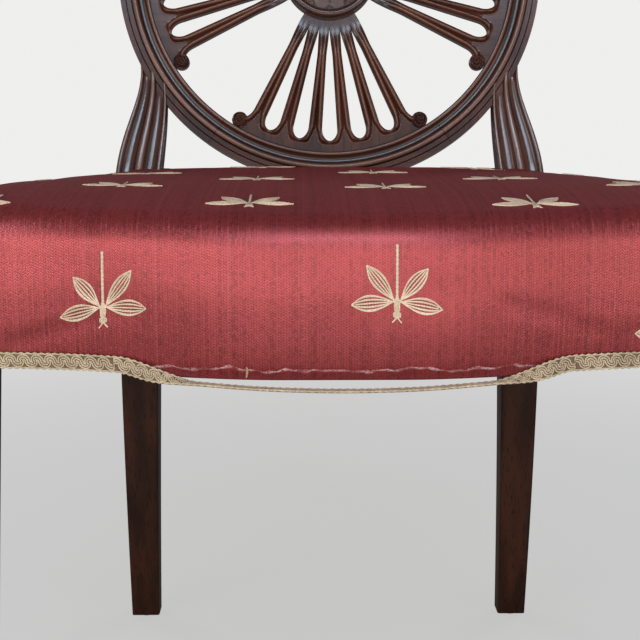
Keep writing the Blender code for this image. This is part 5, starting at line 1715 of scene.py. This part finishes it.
def meander(length):
    """Middle line of the scroll pattern and its sideways directions, along a length."""
    periods = max(1, round(length / MEANDER_PERIOD))
    phase = np.linspace(0, periods, periods * MEANDER_STEPS + 1)
    slope = MEANDER_SWING * np.cos(math.tau * phase)
    run = np.concatenate(([0.0], np.cumsum(np.cos((slope[1:] + slope[:-1]) / 2))))
    rise = np.concatenate(([0.0], np.cumsum(np.sin((slope[1:] + slope[:-1]) / 2))))
    run_scale = length / run[-1]
    rise_scale = MEANDER_REACH / np.max(np.abs(rise))
    rise = rise * rise_scale
    run = run * run_scale - MEANDER_SHEAR * rise
    ahead = np.stack((np.gradient(run), np.gradient(rise)), axis=1)
    ahead /= np.linalg.norm(ahead, axis=1, keepdims=True)
    return run, rise, np.stack((-ahead[:, 1], ahead[:, 0]), axis=1)


def add_tape(shape, ribbon):
    """The tape behind the cords, coloured dark as painted shade in the gaps between them."""
    steps = max(2, round(ribbon.length / TAPE_STEP))
    runs = np.linspace(0, ribbon.length, steps + 1)
    half = GIMP_WIDTH / 2 - EDGE_CORD_RADIUS
    section = ((-half, TAPE_BACK), (half, TAPE_BACK), (half, GIMP_TAPE), (-half, GIMP_TAPE))
    lines = [ribbon.points(runs, across, out) for across, out in section]
    shape.skin(np.stack(lines, axis=1), finish_number=TAPE_SHADE_FINISH)


def add_cord(shape, ribbon, along, across, out, radius, sides):
    """A cord on the face of a ribbon."""
    spots = ribbon.points(along, across, out)
    shape.skin(tube(spots, ribbon.between(ribbon.outs, along), radius, sides))


def add_scrolls(shape, ribbon):
    """Cords that meander side by side."""
    run, rise, beside = meander(ribbon.length)
    for cord in range(GIMP_CORDS):
        offset = GIMP_CORD_PITCH * (cord - (GIMP_CORDS - 1) / 2)
        along = np.clip(run + beside[:, 0] * offset, 0, ribbon.length)
        across = rise + beside[:, 1] * offset
        add_cord(shape, ribbon, along, across, GIMP_TAPE + GIMP_CORD_RADIUS, GIMP_CORD_RADIUS, 6)


def add_edges(shape, ribbon):
    """A beaded cord along each edge."""
    beads = max(1, round(ribbon.length / EDGE_BEAD))
    runs = np.linspace(0, ribbon.length, beads * EDGE_BEAD_STEPS + 1)
    for edge in (-1, 1):
        wave = np.sin(math.tau * beads * runs / ribbon.length + edge)
        across = edge * (GIMP_WIDTH / 2 - EDGE_CORD_RADIUS - EDGE_WAVE + EDGE_WAVE * wave)
        radius = EDGE_CORD_RADIUS * (1 - EDGE_NECK + EDGE_NECK * wave)
        add_cord(shape, ribbon, runs, across, EDGE_CORD_RADIUS + EDGE_LIFT, radius, 8)


def gimp_shape(ribbon):
    """Scroll gimp on a ribbon."""
    shape = Shape()
    add_tape(shape, ribbon)
    add_scrolls(shape, ribbon)
    add_edges(shape, ribbon)
    return shape


def stuck_ribbon(route):
    """Ribbon of a gimp that is stuck upright along a plan route."""
    face = widened(route, GIMP_FACE)
    outer = widened(route, GIMP_FACE + NUDGE)
    middles = []
    outs = []
    for near, far in zip(face, outer):
        middles.append((near.x, near.y, RAIL_BOTTOM + GIMP_WIDTH / 2 + waver(*near)))
        out = (far - near).normalized()
        outs.append((out.x, out.y, 0.0))
    return Ribbon(middles, [(0.0, 0.0, 1.0)] * len(middles), outs)


def waver(x, y):
    """Small rise and fall of a gimp that was stuck on by hand."""
    return WAVER_DEPTH * noise.noise(Vector((x, y, 0.5 * WAVER_SIZE)) / WAVER_SIZE)


def loose_ribbon():
    """Ribbon of the stretch that has come off: it turns flat and sags under the cover's edge."""
    start = -GIMP_LOOSE_LEFT
    end = GIMP_LOOSE_RIGHT
    loose_top = RAIL_BOTTOM + GIMP_WIDTH / 2 - GIMP_DROP
    middles = []
    ups = []
    outs = []
    for x in spread(start, end, LOOSE_STEPS):
        held = min(x - start, end - x)
        loosened = smoothstep(held, 0, GIMP_TURN_LENGTH)
        fallen = blend(loosened, smoothstep(held, 0, (end - start) / 2), GIMP_SAG)
        turn = GIMP_TURN * loosened
        slope = (front_face_y(x + NUDGE) - front_face_y(x - NUDGE)) / (2 * NUDGE)
        out = blend(Vector((slope, -1)).normalized(), Vector((0, -1)), loosened).normalized()
        down = Vector((*(out * math.sin(turn)), -math.cos(turn)))
        spot = Vector((x, front_face_y(x))) + out * GIMP_FACE
        top = Vector((*spot, blend(GIMP_TOP + waver(*spot), loose_top, fallen)))
        middles.append(tuple(top + down * GIMP_WIDTH / 2))
        ups.append(tuple(-down))
        outs.append((*(out * math.cos(turn)), math.sin(turn)))
    return Ribbon(middles, ups, outs)


def make_gimp(finishes):
    """Gimp round the seat's lower edge: two stuck lengths, the back and the loose stretch."""
    steps = (GIMP_STEPS, GIMP_CORNER_STEPS, GIMP_STEPS)
    right = edge_route(GIMP_LOOSE_RIGHT, COVER_END_Y, *steps)
    left = mirrored(edge_route(GIMP_LOOSE_LEFT, COVER_END_Y, *steps))
    back = [Vector((x, REAR_Y)) for x in spread(COVER_REAR_X, -COVER_REAR_X, GIMP_STEPS)]
    materials = [finishes[finish] for finish in GIMP_FINISHES]
    for name, route in (("right", right), ("left", left), ("back", back)):
        mesh = gimp_shape(stuck_ribbon(route)).mesh(f"scroll_gimp_{name}", materials)
        fit(show(f"scroll_gimp_{name}", mesh), "gimp", f"gimp_{name}")
    ribbon = loose_ribbon()
    mesh = gimp_shape(ribbon).mesh("scroll_gimp_loose", materials)
    piece = fit(show("scroll_gimp_loose", mesh), "gimp", "gimp_loose")
    path = [tuple(float(value) for value in point) for point in ribbon.middles]


# Cloths under the seat


def cloth_half_width(y, inset, round_legs):
    """Half the width of a cloth under the seat at a distance along the chair."""
    half = side_face_x(y) - inset
    if y < LEG_BACK_Y:
        if round_legs:
            half = min(half, LEG_INNER_X - POST_GAP)
        reach = 0.0
        while reach < half and front_face_y(reach) + inset <= y:
            reach += 1 * MM
        half = min(half, reach)
    if y > COVER_END_Y:
        half = min(half, COVER_REAR_X)
    return half


def cloth_rows(inset):
    """Distances of a cloth's rows, doubled where it steps in at the legs and posts."""
    start = front_face_y(0) + inset + CLOTH_MARGIN
    front = [blend(start, LEG_BACK_Y - STEP_GAP, share**2) for share in spread(0, 1, 12)]
    middle = spread(LEG_BACK_Y + STEP_GAP, COVER_END_Y - STEP_GAP, CLOTH_ROWS)
    return front + middle + spread(COVER_END_Y + STEP_GAP, REAR_Y - inset, 5)


def make_cloth(name, finish, slot, node, inset, height, sag, round_legs):
    """A cloth stretched under the seat that sags a little between the rails."""
    rows = cloth_rows(inset)
    widths = [cloth_half_width(y, inset, round_legs) for y in rows]
    area = sum((rows[i + 1] - rows[i]) * (widths[i] + widths[i + 1]) for i in range(len(rows) - 1))
    points = []
    for y, half in zip(rows, widths):
        for share in spread(-1, 1, CLOTH_COLUMNS):
            from_edge = min(half - abs(share) * half, y - rows[0], rows[-1] - y)
            points.append((share * half, y, height - sag * smoothstep(from_edge, *SAG_RUN_IN)))
    line = CLOTH_COLUMNS + 1
    shape = Shape()
    shape.add(points, grid_faces(len(rows) - 1, CLOTH_COLUMNS, lambda row, column: row * line + column))
    piece = show(name, shape.mesh(name, [finish]))
    thicken(piece, CLOTH_THICKNESS, 0)
    fit(piece, slot, node)
    round(2 * max(widths), 4)
    round(rows[-1] - rows[0], 4)


def make_stray_thread(finishes):
    """A short loose end of gimp cord that sticks to the front of the cover's lower edge."""
    spots = []
    for share in spread(0, 1, THREAD_STEPS):
        z = RAIL_BOTTOM + THREAD_LENGTH * share
        x = THREAD_X + THREAD_BEND * math.sin(THREAD_CURVE * share)
        out = COVER_OUTSIDE + face_swell(0, z, RAIL_TOP, FRONT_SWELL) + 0.5 * THREAD_RADIUS
        spots.append((x, front_face_y(x) - out, z))
    fullness = [math.sqrt(math.sin(math.pi * share)) for share in spread(*THREAD_ENDS, THREAD_STEPS)]
    outs = np.array([(0.0, -1.0, 0.0)] * len(spots))
    rings = tube(np.array(spots), outs, THREAD_RADIUS * np.array(fullness), 8)
    add_skin("stray_thread", rings, finishes["gimp_cord"], "gimp")


def make_cloths(finishes):
    """Dust cover under the rails and hessian over the webbing."""
    make_cloth(
        "cambric_dust_cover", finishes["black_cambric"], "dust_cloth", "dust_cover",
        inset=DUST_COVER_INSET, height=RAIL_BOTTOM - DUST_COVER_DROP, sag=DUST_COVER_SAG,
        round_legs=True,
    )
    make_cloth(
        "hessian_cloth", finishes["hessian"], "jute", "hessian",
        inset=HESSIAN_INSET, height=HESSIAN_BOTTOM + CLOTH_THICKNESS / 2, sag=0.0,
        round_legs=False,
    )


def dress_frame(finishes):
    """Give the nodes that stay their finishes."""
    starts = (
        ("front_rail", "beech_across"),
        ("rear_rail", "beech_across"),
        ("side_rail", "beech_lengthways"),
        ("corner_block", "beech_across"),
        ("block_screw", "steel"),
        ("dowel", "beech_across"),
        ("webbing", "jute_webbing"),
    )
    for name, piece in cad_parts.items():
        for start, finish in starts:
            if name.startswith(start):
                for slot in piece.material_slots:
                    slot.material = finishes[finish]


# Stage, light and camera


BACKGROUND = colour(0.86, 0.86, 0.85)
WORLD_STRENGTH = 0.065
REFLECTED_SHARE = 0.04  # of the background in polish and silk, which reflect a dim room
FLOOR_REACH = 30.0
FLOOR_FADE = (0.8, 4.0)  # distances over which the floor fades into the background
WARM = (1.0, 0.985, 0.97)
COOL = (0.66, 0.83, 1.0)
NEUTRAL = (0.94, 0.97, 1.0)
SEAT_FRONT = (0, 0, 0.45)
SEAT_TOP = (0, 0.2, 0.55)
SEAT_MIDDLE = (0, 0, 0.5)
SOFTBOXES = (  # name, place, target, size, power, tint
    ("front_light", (0.3, -2.4, 0.45), SEAT_FRONT, (3.8, 0.8), 31, WARM),
    ("left_light", (-1.7, -2.0, 0.85), SEAT_FRONT, (1.4, 1.0), 18, WARM),
    ("right_light", (2.0, -1.8, 0.7), SEAT_FRONT, (1.2, 1.1), 6, WARM),
    ("upper_light", (0.05, -2.2, 2.12), SEAT_TOP, (1.7, 0.45), 34, COOL),
    ("rear_left_light", (-1.8, 2.2, 0.9), SEAT_MIDDLE, (0.9, 0.9), 13, NEUTRAL),
    ("rear_right_light", (1.8, 2.2, 0.9), SEAT_MIDDLE, (0.9, 0.9), 13, NEUTRAL),
)
CAMERA_PLACE = (-30.5 * MM, -1275.8 * MM, 541 * MM)
CAMERA_PITCH = math.radians(-8.2)
CAMERA_TURN = math.radians(-0.8)
FOCAL_LENGTH = 81.45
SENSOR_WIDTH = 36


def seen_share(tree):
    """Share of the pale background: all of it straight on or through glass, a little in reflections."""
    path = tree.nodes.new("ShaderNodeLightPath")
    share = path.outputs["Is Camera Ray"]
    for output, weight in (("Is Glossy Ray", REFLECTED_SHARE), ("Is Transmission Ray", 1.0)):
        part = tree.nodes.new("ShaderNodeMath")
        part.operation = "MULTIPLY_ADD"
        part.use_clamp = True
        tree.links.new(path.outputs[output], part.inputs[0])
        part.inputs[1].default_value = weight
        tree.links.new(share, part.inputs[2])
        share = part.outputs[0]
    return share


def make_floor():
    """A pale floor that fades into the background far away."""
    floor = Finish("pale_floor", {"Roughness": 0.85, "Specular IOR Level": 0.2})
    grain = floor.own_noise((3.0, 3.0, 3.0), 4.0)
    floor.set("Base Color", floor.mix(grain, colour(0.44, 0.44, 0.43), colour(0.50, 0.50, 0.49)))
    x, y, _ = floor.split(floor.place((1.0, 1.0, 1.0)))
    away = (x * x + y * y) ** 0.5
    pale = (away.ease(*FLOOR_FADE) * 0.4 + 0.6) * seen_share(floor.tree)
    glow = floor.add("Emission", {"Color": BACKGROUND, "Strength": 1.0})
    mixed = floor.add("MixShader", {0: pale, 1: floor.shader.outputs[0], 2: glow.outputs[0]})
    output = floor.tree.nodes["Material Output"]
    floor.tree.links.new(mixed.outputs[0], output.inputs["Surface"])
    mesh = bpy.data.meshes.new("floor")
    corners = [(x * FLOOR_REACH, y * FLOOR_REACH, 0) for x, y in ((-1, -1), (1, -1), (1, 1), (-1, 1))]
    mesh.from_pydata(corners, [], [(0, 1, 2, 3)])
    mesh.materials.append(floor.material)
    show("floor", mesh)


def make_world():
    """Dim even light all round, seen as a pale background."""
    world = bpy.data.worlds.new("studio")
    bpy.context.scene.world = world
    world.use_nodes = True
    tree = world.node_tree
    plain = tree.nodes["Background"]
    plain.inputs["Color"].default_value = colour(0.95, 0.97, 1.0)
    plain.inputs["Strength"].default_value = WORLD_STRENGTH
    pale = tree.nodes.new("ShaderNodeBackground")
    pale.inputs["Color"].default_value = BACKGROUND
    pale.inputs["Strength"].default_value = 1.0
    mixed = tree.nodes.new("ShaderNodeMixShader")
    tree.links.new(seen_share(tree), mixed.inputs[0])
    tree.links.new(plain.outputs[0], mixed.inputs[1])
    tree.links.new(pale.outputs[0], mixed.inputs[2])
    tree.links.new(mixed.outputs[0], tree.nodes["World Output"].inputs["Surface"])


def add_softbox(name, place, target, size, power, tint):
    """A large soft lamp that looks at a target."""
    lamp = bpy.data.lights.new(name, "AREA")
    lamp.shape = "RECTANGLE"
    lamp.size = size[0]
    lamp.size_y = size[1]
    lamp.energy = power
    lamp.color = tint
    holder = bpy.data.objects.new(name, lamp)
    bpy.context.scene.collection.objects.link(holder)
    holder.location = place
    holder.rotation_euler = (Vector(target) - Vector(place)).to_track_quat("-Z", "Y").to_euler()


def make_lights():
    """A wide low softbox in front, one to each side, a cooler one above and two weak ones behind."""
    for softbox in SOFTBOXES:
        add_softbox(*softbox)


def make_camera():
    """Camera close to the seat's front, as the photograph was taken."""
    lens = bpy.data.cameras.new("camera")
    lens.sensor_width = SENSOR_WIDTH
    lens.lens = FOCAL_LENGTH
    lens.clip_start = 0.01
    camera = bpy.data.objects.new("camera", lens)
    bpy.context.scene.collection.objects.link(camera)
    camera.location = CAMERA_PLACE
    camera.rotation_euler = (math.pi / 2 + CAMERA_PITCH, 0, CAMERA_TURN)
    bpy.context.scene.camera = camera
    bpy.context.scene.view_settings.view_transform = "Standard"


def main():
    finishes = make_finishes()
    dress_frame(finishes)
    make_posts(finishes)
    make_hoop_rails(finishes)
    make_palmettes(finishes)
    make_hub(finishes)
    make_boss(finishes)
    make_front_legs(finishes)
    make_glides(finishes)
    make_cover(finishes)
    make_gimp(finishes)
    make_stray_thread(finishes)
    make_cloths(finishes)
    make_floor()
    make_world()
    make_lights()
    make_camera()


main()
